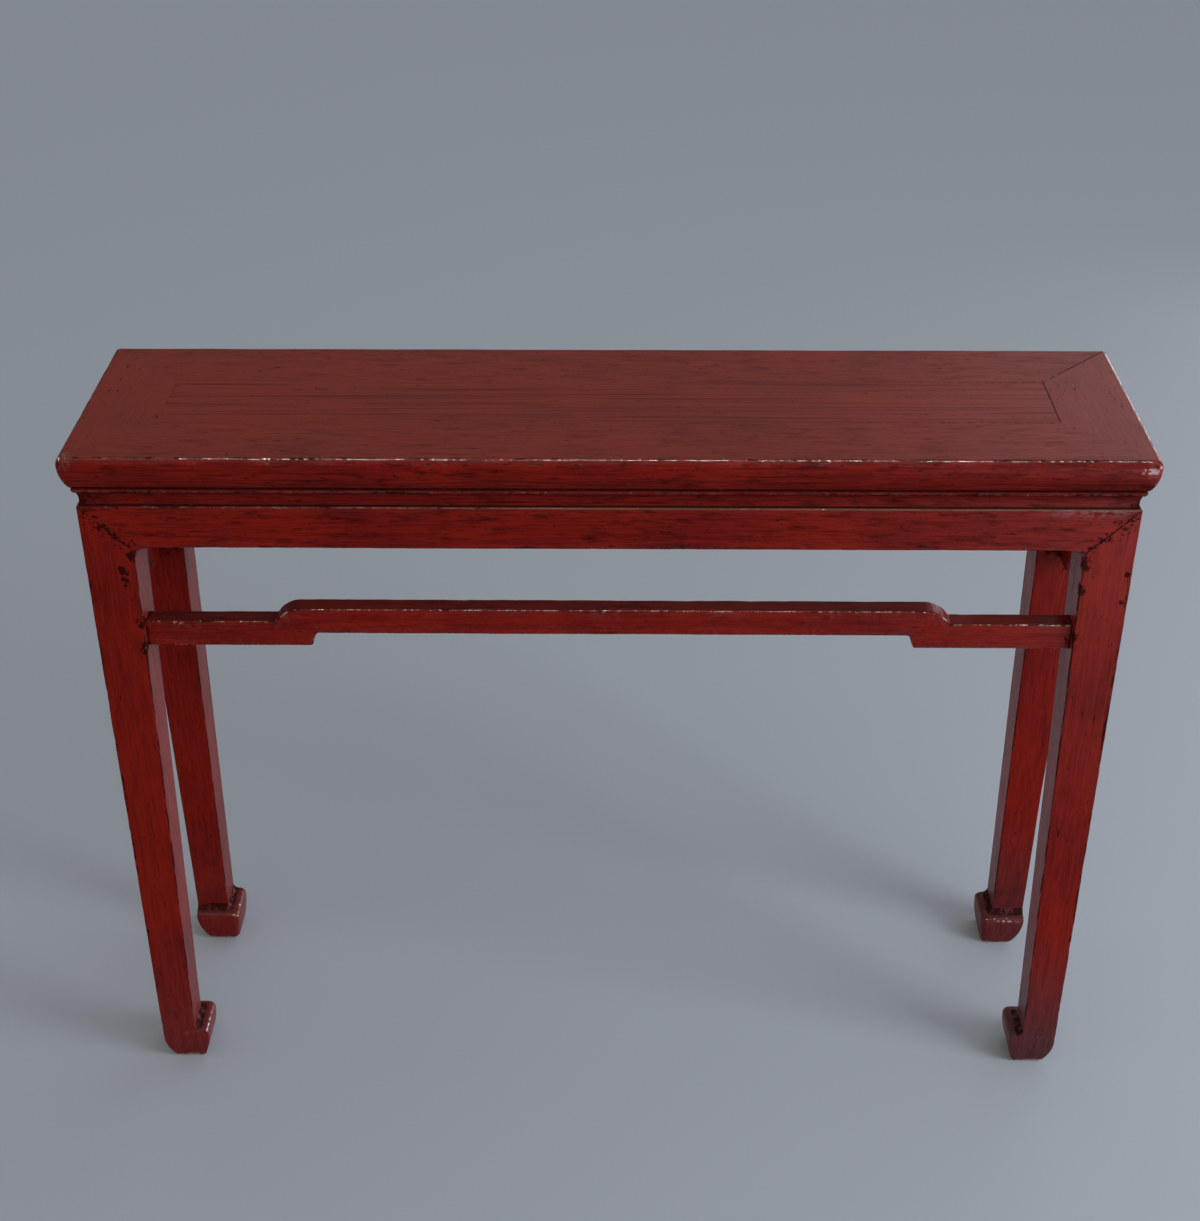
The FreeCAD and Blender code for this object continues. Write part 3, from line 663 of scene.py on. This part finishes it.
# Spots and glints, see spot_masks
# Dark marks and smears on the front legs, and two painted shadows cast by the aprons on the back legs
LEG_MARKS_AND_SHADOWS = (((-0.517, -0.130, 0.711), 10, 0.1), ((-0.517, -0.131, 0.696), 10, 0.1),
             ((-0.504, -0.128, 0.645), 15, 0.15), ((-0.503, -0.128, 0.612), 15, 0.15),
             ((-0.504, -0.127, 0.730), 13, 0.1), ((0.504, -0.127, 0.722), 15, 0.2),
             ((0.503, -0.128, 0.690), 13, 0.2), ((0.552, -0.130, 0.710), 6, 0.1),
             ((0.551, -0.131, 0.676), 6, 0.1), ((0.503, -0.129, 0.632), 12, 0.15),
             # Painted shadows on the back legs' faces, under the aprons
             ((-0.527, 0.078, 0.622), 34, 0.5), ((0.524, 0.078, 0.622), 34, 0.5))
WAIST_SPOTS = (((-0.550, -0.127, 0.795), 40, 0.5), ((0.553, -0.127, 0.790), 22, 0.5))
CORNER_GLINTS = (((0.558, -0.137, 0.839), 17, 0.15), ((-0.560, -0.135, 0.846), 16, 0.15))
SHOULDER_GLINTS = (((0.364, -0.115, 0.650), 24, 0.0), ((-0.354, -0.115, 0.650), 14, 0.15))


# Top frame and panel

def draw_rail_section(bm, start_x, top):
    """The moulded edge in cross section: arris, bulge, quirk and bead."""
    high, low = FRAME_HIGH.z, FRAME_LOW.z
    quirk_high = high - top.quirk_depth
    back = top.frame_width - top.joint_gap
    widest = bm.verts.new((start_x, 0.0, high - top.bulge_depth))
    arris = tangent_arc(bm, widest, (top.arris_inset, high - top.arris_drop), 5)
    flat = bm.verts.new((start_x, top.arris_inset + top.arris_flat, high))
    tangent_arc(bm, flat, arris.co.yz, 4, level=True)
    back_low = line_to(bm, flat, (back, high), (back, low))
    quirk = tangent_arc(bm, widest, (top.quirk_inset, quirk_high), 11)
    bead = line_to(bm, quirk, (top.quirk_inset + top.quirk_cut, quirk_high - top.bead_gap / 2),
                   (top.quirk_inset, quirk_high - top.bead_gap))
    under = tangent_arc(bm, bead, (top.underside_inset, low), 5)
    line_to(bm, under, back_low.co.yz)
    return close_face(bm)


class ALTAR_OT_top_frame(bpy.types.Operator):
    """Make the four mitred rails of the top frame, with their moulded edge."""
    bl_idname = "altar.top_frame"
    bl_label = "Top frame"

    def execute(self, context):
        made = context.scene.altar_table
        wear, top = made.wear, made.top
        rim = 5 * MM
        flat_start = top.arris_inset + top.arris_flat
        for side in TURNS:
            along, half, reach = side_span(side, TOP_HALVES)
            bm = bmesh.new()
            pull_along(bm, draw_rail_section(bm, -half, top), half)
            slice_at(bm, even_slices(half, ends=20 * MM, step=wear.step / 2, fine=1.6 * MM), LENGTHWAYS)
            slice_at(bm, slices(flat_start, top.frame_width, 2 * wear.step), INWARD)
            saw_ends(bm, half)
            put_on_side(bm, side, reach)
            round_corners(bm, *TOP_HALVES, top.corner_round)
            unsettle(bm, wear)
            knock(bm, wear, lambda co: co.z > FRAME_HIGH.z - rim
                  and (abs(co.y) > TOP_HALVES[1] - rim or abs(co.x) > TOP_HALVES[0] - rim))
            calm, gloss, joint = (0.5, 1.0, LONG_JOINT) if along == "X" else (0.85, 0.12, END_JOINT)
            lacquer = old_lacquer("rail along " + along, along, made.colours, top_dust_and_reflection=True, streak=0.65,
                                  smudged=0.75, scratched=0.6, rubbed=0.41, chipped=0.62, calm=calm,
                                  gloss=gloss, seams=(TOP_MITRE, joint, QUIRK_DIRT_AND_SHADE, BEAD_JOINT_SHADOW),
                                  glints=CORNER_GLINTS)
            finish_piece(bm, side + "_moulded_rail", side + "_top_rail", lacquer)
        return {"FINISHED"}


class ALTAR_OT_top_panel(bpy.types.Operator):
    """Make the floating panel of the top."""
    bl_idname = "altar.top_panel"
    bl_label = "Top panel"

    def execute(self, context):
        made = context.scene.altar_table
        half_x, half_y = (half - made.top.frame_width for half in TOP_HALVES)
        bm = bmesh.new()
        block(bm, Vector((-half_x, -half_y, PANEL_LOW.z)), Vector((half_x, half_y, PANEL_HIGH.z)))
        slice_at(bm, slices(-half_x, half_x, FACE_STEP), LENGTHWAYS)
        slice_at(bm, slices(-half_y, half_y, FACE_STEP), INWARD)
        unsettle(bm, made.wear)
        lacquer = old_lacquer("open grain", "X", made.colours, top_dust_and_reflection=True, streak=0.65,
                              streak_mm=(240, 2.2), scratched=0.61, seams=(LONG_JOINT, END_JOINT))
        finish_piece(bm, "floating_panel", "top_panel", lacquer)
        return {"FINISHED"}


# Waist and aprons

class ALTAR_OT_waist(bpy.types.Operator):
    """Make the four hollowed boards of the waist."""
    bl_idname = "altar.waist"
    bl_label = "Waist"

    def execute(self, context):
        made = context.scene.altar_table
        top, wear = made.top, made.wear
        low, high = APRON_HIGH.z - 0.4 * MM, FRAME_LOW.z
        run = (high - low) / 2
        radius = (run * run + top.waist_hollow ** 2) / (2 * top.waist_hollow)
        for side in TURNS:
            along, half, reach = side_span(side, BODY_HALVES)
            bm = bmesh.new()
            start = bm.verts.new((-half, top.waist_setback, low))
            centre = (-half, top.waist_setback + top.waist_hollow - radius, (low + high) / 2)
            crown = arc_to(bm, start, centre, 2 * math.asin(run / radius), 8)
            line_to(bm, crown, (BOARD, high), (BOARD, low), start.co.yz)
            pull_along(bm, close_face(bm), half)
            slice_at(bm, slices(-half, half, 2 * wear.step), LENGTHWAYS)
            saw_ends(bm, half)
            put_on_side(bm, side, reach)
            unsettle(bm, wear)
            # The waist is painted darker than the aprons (thin) as painted shade in its recess under the
            # top's overhang
            lacquer = old_lacquer("waist along " + along, along, made.colours, streak=0.9,
                                  thin=0.7, smudged=0.8, seams=(WAIST_LIP_SHADOW,), spots=WAIST_SPOTS)
            finish_piece(bm, side + "_waist_board", side + "_waist", lacquer)
        return {"FINISHED"}


class ALTAR_OT_aprons(bpy.types.Operator):
    """Make the four aprons, mitred into the legs."""
    bl_idname = "altar.aprons"
    bl_label = "Aprons"

    def execute(self, context):
        made = context.scene.altar_table
        top, wear = made.top, made.wear
        low, high = top.apron_bottom, APRON_HIGH.z
        drop = low - APRON_LOW.z
        bend = (top.apron_sweep ** 2 + drop ** 2) / (2 * drop)
        for side in TURNS:
            along, half, reach = side_span(side, BODY_HALVES)
            bm = bmesh.new()
            face_low = bm.verts.new((-half, 0.0, low + wear.arris))
            face_high = line_to(bm, face_low, (0.0, high - top.lip_round))
            lip = tangent_arc(bm, face_high, (top.lip_round, high), 4)
            back = line_to(bm, lip, (BOARD, high), (BOARD, low))
            under = tangent_arc(bm, face_low, (wear.arris, low), 4)
            line_to(bm, under, back.co.yz)
            pull_along(bm, close_face(bm), half)
            sweep_start = half - made.leg.top_width - top.apron_sweep
            slice_at(bm, even_slices(half, half - sweep_start, wear.step, fine=2 * MM), LENGTHWAYS)
            slice_at(bm, slices(low + wear.arris, high - top.lip_round, FACE_STEP), UPWARD)
            for vert in bm.verts:
                past = min(abs(vert.co.x) - sweep_start, top.apron_sweep)
                if past > 0.0 and vert.co.z < low + wear.arris + 0.1 * MM:
                    vert.co.z -= bend - math.sqrt(bend * bend - past * past)
            saw_ends(bm, half)
            for end in (-1.0, 1.0):
                saw_mitre(bm, (end * half, 0.0, high), (end, 0.0, -1.0), (0.0, -1.0, 0.0), wear.seam)
            put_on_side(bm, side, reach)
            unsettle(bm, wear)
            knock(bm, wear, lambda co: co.z < low + wear.arris, 0.5)
            gloss, mitre = (0.4, FRONT_MITRE) if along == "X" else (0.15, SIDE_MITRE)
            lacquer = old_lacquer("apron along " + along, along, made.colours, streak=0.6,
                                  smudged=0.75, scratched=0.615, gloss=gloss, seams=(mitre,), lip=True)
            finish_piece(bm, side + "_apron_board", side + "_apron", lacquer)
        return {"FINISHED"}


# Legs

def curve_in(below, height, reach):
    """How far a heel that goes in by reach over its height has gone in, below its top."""
    radius = (reach * reach + height * height) / (2 * reach)
    return radius - math.sqrt(radius * radius - below * below)


def leg_rings(leg, wear, shoulder, top, heel_height, heel_reach, toe_return):
    """(centre, size, inner corner radius) of each section of a leg, from the floor up,
    measured inwards from its outer faces."""
    tip = leg.ankle_width + leg.toe_reach
    tip_low = leg.toe_height - leg.toe_round
    hollow = leg.toe_reach - leg.toe_round
    ankle = leg.toe_height + hollow
    # (height, ease round the sole, inner width, corner radius)
    sections = []
    sole = [math.radians(degrees) for degrees in (0, 30, 60, 90)]
    steps = [(leg.base_round * (1 - math.cos(turn)), leg.base_round * (1 - math.sin(turn)))
             for turn in sole]
    steps += [(height, 0.0) for height in slices(leg.base_round, tip_low, wear.step / 2) + [tip_low]]
    for height, ease in steps:
        toe = tip - curve_in(tip_low - height, tip_low, toe_return)
        sections.append((height, ease, toe - ease, leg.toe_corner))
    for step in range(1, 9):
        turn = math.pi / 2 * step / 8
        sections.append((tip_low + leg.toe_round * math.sin(turn), 0.0,
                         tip - leg.toe_round + leg.toe_round * math.cos(turn), leg.toe_corner))
    for degrees in (15, 30, 45, 60, 75, 90):
        turn = math.radians(degrees)
        corner = leg.toe_corner + (wear.arris - leg.toe_corner) * math.sin(turn)
        inner = leg.ankle_width + hollow * (1 - math.sin(turn))
        sections.append((ankle - hollow * math.cos(turn), 0.0, inner, corner))
    for height in slices(ankle, shoulder, wear.step) + [shoulder]:
        share = (height - ankle) / (shoulder - ankle)
        inner = leg.ankle_width + (leg.top_width - leg.ankle_width) * share
        sections.append((height, 0.0, inner, wear.arris))
    sections.append((top, 0.0, leg.top_width, wear.arris))
    rings = []
    for height, ease, inner, corner in sections:
        below = max(0.0, heel_height - height)
        end_face = ease + curve_in(below, heel_height, heel_reach)
        front_face = ease + curve_in(below, heel_height, leg.face_heel_reach)
        lean = leg.lean * max(0.0, shoulder - height) / shoulder
        centre = Vector(((end_face + inner) / 2, (front_face + inner) / 2 - lean, height))
        rings.append((centre, Vector((inner - end_face, inner - front_face, 0.0)), corner))
    return rings


def resize(bm, verts, start, end, x, y):
    """Moves vertices from one centre to another, scaled along X and Y."""
    matrix = Matrix.Translation(end) @ resized(x, y) @ Matrix.Translation(-start)
    bmesh.ops.transform(bm, matrix=matrix, verts=verts)


def open_corner(bm, verts, centre, size, radius, wider):
    """Widens the rounding of a section's inner corner."""
    middle = centre + size / 2 - radius
    corner = [vert for vert in verts if min(vert.co.x - middle.x, vert.co.y - middle.y) > -WELD]
    moved = centre + size / 2 - Vector((wider, wider, 0.0))
    resize(bm, corner, middle, moved, wider / radius.x, wider / radius.y)


class ALTAR_OT_legs(bpy.types.Operator):
    """Make the four corner legs with their hoof feet."""
    bl_idname = "altar.legs"
    bl_label = "Legs"

    def execute(self, context):
        made = context.scene.altar_table
        leg, wear = made.leg, made.wear
        shoulder, top = APRON_LOW.z, APRON_HIGH.z
        leg_x, leg_y = BODY_HALVES
        rim, lap = 1.2 * MM, 10 * MM
        front_foot = (leg.heel_height, leg.heel_reach, leg.toe_return)
        back_foot = (leg.back_heel_height, leg.back_heel_reach, leg.back_toe_return)
        for side in ("front_left", "front_right", "back_left", "back_right"):
            places = leg_rings(leg, wear, shoulder, top, *(back_foot if "back" in side else front_foot))
            bm = bmesh.new()
            first_centre, first_size, _ = places[0]
            radius = wear.arris * first_size.x / leg.top_width
            square = Matrix.Translation(first_centre) @ resized(first_size.x, first_size.y)
            face = rounded_rectangle(bm, square, radius, 3)
            rings = [face.verts[:]]
            for (centre, size, _), (centre_above, size_above, _) in zip(places, places[1:]):
                face, verts = pull(bm, face, (0.0, 0.0, 0.0))
                resize(bm, verts, centre, centre_above, size_above.x / size.x, size_above.y / size.y)
                rings.append(verts)
            for verts, (centre, size, corner) in zip(rings, places):
                rounding = Vector((radius * size.x / first_size.x, radius * size.y / first_size.y, 0.0))
                open_corner(bm, verts, centre, size, rounding, corner)
            saw_mitre(bm, (0.0, 0.0, top), (1.0, 0.0, 1.0), (0.0, -1.0, 0.0), wear.seam)
            saw_mitre(bm, (0.0, 0.0, top), (0.0, 1.0, 1.0), (-1.0, 0.0, 0.0), wear.seam)
            neck = leg.top_width - wear.seam
            block(bm, Vector((BOARD, BOARD, shoulder - lap)), Vector((neck, neck, FRAME_LOW.z)))
            bmesh.ops.translate(bm, verts=bm.verts, vec=(-leg_x, -leg_y, 0.0))
            flip = resized(-1.0 if "right" in side else 1.0, -1.0 if "back" in side else 1.0)
            bmesh.ops.transform(bm, matrix=flip, verts=bm.verts)
            bmesh.ops.recalc_face_normals(bm, faces=bm.faces)
            unsettle(bm, wear)
            knock(bm, wear, lambda co: abs(co.x) > leg_x - rim and co.z < shoulder
                  and abs(co.y) > leg_y + leg.lean * (1 - co.z / shoulder) - rim)
            lacquer = old_lacquer("leg", "Z", made.colours, smudged=0.35, rubbed=0.42,
                                  chipped=0.7, gloss=0.0, seams=(FRONT_MITRE, SIDE_MITRE), spots=LEG_MARKS_AND_SHADOWS,
                                  leg=True)
            finish_piece(bm, side + "_corner_leg", side + "_leg", lacquer)
        return {"FINISHED"}


# Stretchers

def rounded_outline(corners):
    """The points of an outline whose corners (place, height, radius) are rounded."""
    bm = bmesh.new()
    bm.faces.new([bm.verts.new((place, 0.0, height)) for place, height, radius in corners])
    bm.verts.ensure_lookup_table()
    verts = bm.verts[:]
    points = [vert.co.copy() for vert in verts]
    for index, vert in enumerate(verts):
        before, here, after = points[index - 1], points[index], points[(index + 1) % len(points)]
        reach = corners[index][2] * math.tan((here - before).angle(after - here) / 2)
        if reach:
            bevel_corners(bm, [vert], reach, 8)
    outline = [(vert.co.x, vert.co.z) for vert in bm.verts]
    bm.free()
    return sorted(outline)


def height_at(line, place):
    """The height of a line of points at a place along it."""
    for (start, low), (end, high) in zip(line, line[1:]):
        if start <= place <= end and end > start:
            return low + (high - low) * (place - start) / (end - start)
    return line[0][1] if place < line[0][0] else line[-1][1]


def both_ways(middle, first, corners):
    """Corners measured out from the middle, in order from the first side to the other."""
    return ([(middle + first * out, height, radius) for out, height, radius in corners]
            + [(middle - first * out, height, radius) for out, height, radius in reversed(corners)])


class ALTAR_OT_stretchers(bpy.types.Operator):
    """Make the four humpback stretchers."""
    bl_idname = "altar.stretchers"
    bl_label = "Stretchers"

    def execute(self, context):
        made = context.scene.altar_table
        bar, wear = made.stretcher, made.wear
        low, rise = FRONT_BAR_LOW.z, bar.hump_rise
        top = low + bar.bar_height
        split = (low + rise + top) / 2
        soft, rim = 3 * MM, 2 * MM
        long_bar = (-FRONT_BAR_LOW.y, FRONT_BAR_HIGH.y - FRONT_BAR_LOW.y, bar.front_half, bar.front_hump,
                    bar.front_step, FRONT_BAR_JOINT)
        short_bar = (-SIDE_BAR_LOW.x, SIDE_BAR_HIGH.x - SIDE_BAR_LOW.x, bar.side_half, bar.side_hump,
                     bar.side_step, SIDE_BAR_JOINT)
        for side in TURNS:
            along = "Y" if side in ("left", "right") else "X"
            outer, thick, half, hump, step, joint = short_bar if along == "Y" else long_bar
            shift = {"front": bar.front_shift, "back": -bar.front_shift}.get(side, 0.0)
            hollow = [(step + bar.step_run, low, bar.step_round), (step, low + rise, bar.step_round)]
            raised = [(hump, top, bar.kink_round), (hump - bar.hump_run, top + rise, bar.hump_round)]
            corners = [(-half, low, 0.0), *both_ways(shift, -1, hollow), (half, low, 0.0),
                       (half, top, 0.0), *both_ways(shift, 1, raised), (-half, top, 0.0)]
            outline = rounded_outline(corners)
            under = [point for point in outline if point[1] < split]
            over = [point for point in outline if point[1] > split]
            places = sorted({round(place, 6) for place, height in outline if abs(place) < half - 0.1 * MM}
                            | {round(place, 6) for place in slices(-half, half, wear.step)})
            bm = bmesh.new()
            end = Matrix.Translation((-half, thick / 2, (low + top) / 2))
            upright = end @ Matrix.Rotation(math.pi / 2, 4, "Y") @ resized(bar.bar_height, thick)
            pull_along(bm, rounded_rectangle(bm, upright, wear.arris, 1), half)
            slice_at(bm, places, LENGTHWAYS)
            for vert in bm.verts:
                share = min(1.0, max(0.0, (vert.co.z - low - soft) / (bar.bar_height - 2 * soft)))
                raised_low = height_at(under, vert.co.x) - low
                raised_top = height_at(over, vert.co.x) - top
                vert.co.z += raised_low + (raised_top - raised_low) * share
            put_on_side(bm, side, outer)
            unsettle(bm, wear)
            knock(bm, wear, lambda co: co.z > top - rim, 0.7)
            lacquer = old_lacquer("bar along " + along, along, made.colours, smudged=0.5,
                                  chipped=0.55, seams=(joint,), glints=SHOULDER_GLINTS)
            finish_piece(bm, side + "_humpback_bar", side + "_stretcher", lacquer)
        return {"FINISHED"}


class ALTAR_OT_hidden_joinery(bpy.types.Operator):
    """Give the battens under the panel and the pegs their bare wood."""
    bl_idname = "altar.hidden_joinery"
    bl_label = "Battens and pegs"

    def execute(self, context):
        colours = context.scene.altar_table.colours
        for name in ("left_batten", "middle_batten", "right_batten", "stretcher_pegs", "apron_pegs"):
            along = "Y" if "batten" in name else "X"
            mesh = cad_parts[name].data
            mesh.materials.clear()
            mesh.materials.append(planed_deal("Planed deal, grain along " + along, along, colours))
        return {"FINISHED"}


# Floor, light and camera

WARM, COOL = (1.0, 0.96, 0.88), (0.86, 0.93, 1.0)
# (name, place, target, width, height, power, colour, lights matt surfaces too)
LAMPS = (
    ("high strip", (0.2, -0.95, 2.6), (0.1, -0.1, 0.8), 2.2, 0.08, 65.0, WARM, False),
    ("right softbox", (2.6, -1.2, 1.8), (0.2, 0.0, 0.6), 1.2, 1.4, 28.0, (0.9, 0.95, 1.0), True),
    ("right window", (1.15, -1.25, 0.45), (0.5, -0.1, 0.45), 0.8, 0.9, 15.0, COOL, False),
    ("right glint", (2.2, -0.2, 0.8), (0.56, -0.13, 0.84), 1.6, 0.45, 34.0, COOL, False),
    ("left glint", (-2.2, -0.45, 2.25), (-0.56, -0.13, 0.84), 1.3, 0.9, 60.0, (1.0, 0.93, 0.8), False),
    ("low window", (2.0, 2.4, 0.8), (0.36, -0.11, 0.65), 1.0, 0.9, 32.0, COOL, False),
    ("back window", (1.6, 2.4, 1.9), (0.35, 0.0, 0.85), 1.4, 1.2, 6.5, COOL, False),
)


class ALTAR_OT_stage(bpy.types.Operator):
    """Lay the pale floor and set up the soft light and the camera."""
    bl_idname = "altar.stage"
    bl_label = "Floor, light and camera"

    def execute(self, context):
        stage = context.scene.altar_table.stage
        scene = context.scene
        scene.view_settings.view_transform = "Standard"
        material, add_node = empty_material("Matt grey floor")
        shader = add_node("BsdfPrincipled", named={"Roughness": 0.8, "Specular IOR Level": 0.2})
        shader.inputs["Base Color"].default_value = stage.floor
        add_node("OutputMaterial", shader)
        bm = bmesh.new()
        bmesh.ops.create_grid(bm, x_segments=2, y_segments=2, size=stage.floor_size / 2)
        new_object("floor", bm, material)

        world = bpy.data.worlds.new("Soft studio")
        world.use_nodes = True
        tree = world.node_tree
        across = add(tree, "SeparateXYZ", add(tree, "TexCoord").outputs["Generated"])
        share = add(tree, "MapRange", across, -0.5, 0.5)
        sky = add(tree, "Mix RGBA", share, stage.sky_left, stage.sky_right)
        tree.links.new(sky.outputs[2], tree.nodes["Background"].inputs["Color"])
        tree.nodes["Background"].inputs["Strength"].default_value = stage.sky_strength
        scene.world = world

        for name, place, target, width, height, power, tint, matt in LAMPS:
            light = bpy.data.lights.new(name, "AREA")
            light.shape = "RECTANGLE"
            light.size, light.size_y = width, height
            light.energy = power
            light.color = tint
            lamp = bpy.data.objects.new(name, light)
            lamp.location = place
            lamp.visible_diffuse = matt
            lamp.rotation_euler = (Vector(target) - Vector(place)).to_track_quat("-Z", "Y").to_euler()
            scene.collection.objects.link(lamp)

        level = Vector((math.sin(stage.yaw), math.cos(stage.yaw), 0.0))
        ahead = level * math.cos(stage.pitch) - Vector(UPWARD) * math.sin(stage.pitch)
        right = Vector((level.y, -level.x, 0.0))
        turn = Matrix((right, right.cross(ahead), -ahead)).transposed() @ Matrix.Rotation(stage.roll, 3, "Z")
        data = bpy.data.cameras.new("eye")
        data.lens = stage.lens
        data.sensor_width = 36.0
        camera = bpy.data.objects.new("eye", data)
        camera.matrix_world = Matrix.Translation(stage.eye) @ turn.to_4x4()
        scene.collection.objects.link(camera)
        scene.camera = camera
        return {"FINISHED"}


class AltarTable(bpy.types.PropertyGroup):
    """All settings of the table."""
    top: PointerProperty(type=TopSizes)
    leg: PointerProperty(type=LegSizes)
    stretcher: PointerProperty(type=StretcherSizes)
    wear: PointerProperty(type=WearSizes)
    colours: PointerProperty(type=FinishColours)
    stage: PointerProperty(type=StageSettings)


OPERATORS = (ALTAR_OT_top_frame, ALTAR_OT_top_panel, ALTAR_OT_waist, ALTAR_OT_aprons, ALTAR_OT_legs,
             ALTAR_OT_stretchers, ALTAR_OT_hidden_joinery, ALTAR_OT_stage)


class ALTAR_PT_table(bpy.types.Panel):
    """Lists the table's settings and the operators that make its pieces."""
    bl_label = "Altar table"
    bl_idname = "ALTAR_PT_table"
    bl_space_type = "VIEW_3D"
    bl_region_type = "UI"
    bl_category = "Altar table"

    def draw(self, context):
        made = context.scene.altar_table
        for group in (made.top, made.leg, made.stretcher, made.wear, made.colours, made.stage):
            box = self.layout.box()
            for name in group.bl_rna.properties.keys():
                if name not in ("rna_type", "name"):
                    box.prop(group, name)
        for operator in OPERATORS:
            self.layout.operator(operator.bl_idname)


CLASSES = (TopSizes, LegSizes, StretcherSizes, WearSizes, FinishColours, StageSettings, AltarTable,
           *OPERATORS, ALTAR_PT_table)


def register():
    for made in CLASSES:
        bpy.utils.register_class(made)
    bpy.types.Scene.altar_table = PointerProperty(type=AltarTable)


def unregister():
    del bpy.types.Scene.altar_table
    for made in reversed(CLASSES):
        bpy.utils.unregister_class(made)


def main():
    register()
    bpy.ops.altar.top_frame()
    bpy.ops.altar.top_panel()
    bpy.ops.altar.waist()
    bpy.ops.altar.aprons()
    bpy.ops.altar.legs()
    bpy.ops.altar.stretchers()
    bpy.ops.altar.hidden_joinery()
    bpy.ops.altar.stage()


if __name__ == "__main__":
    main()
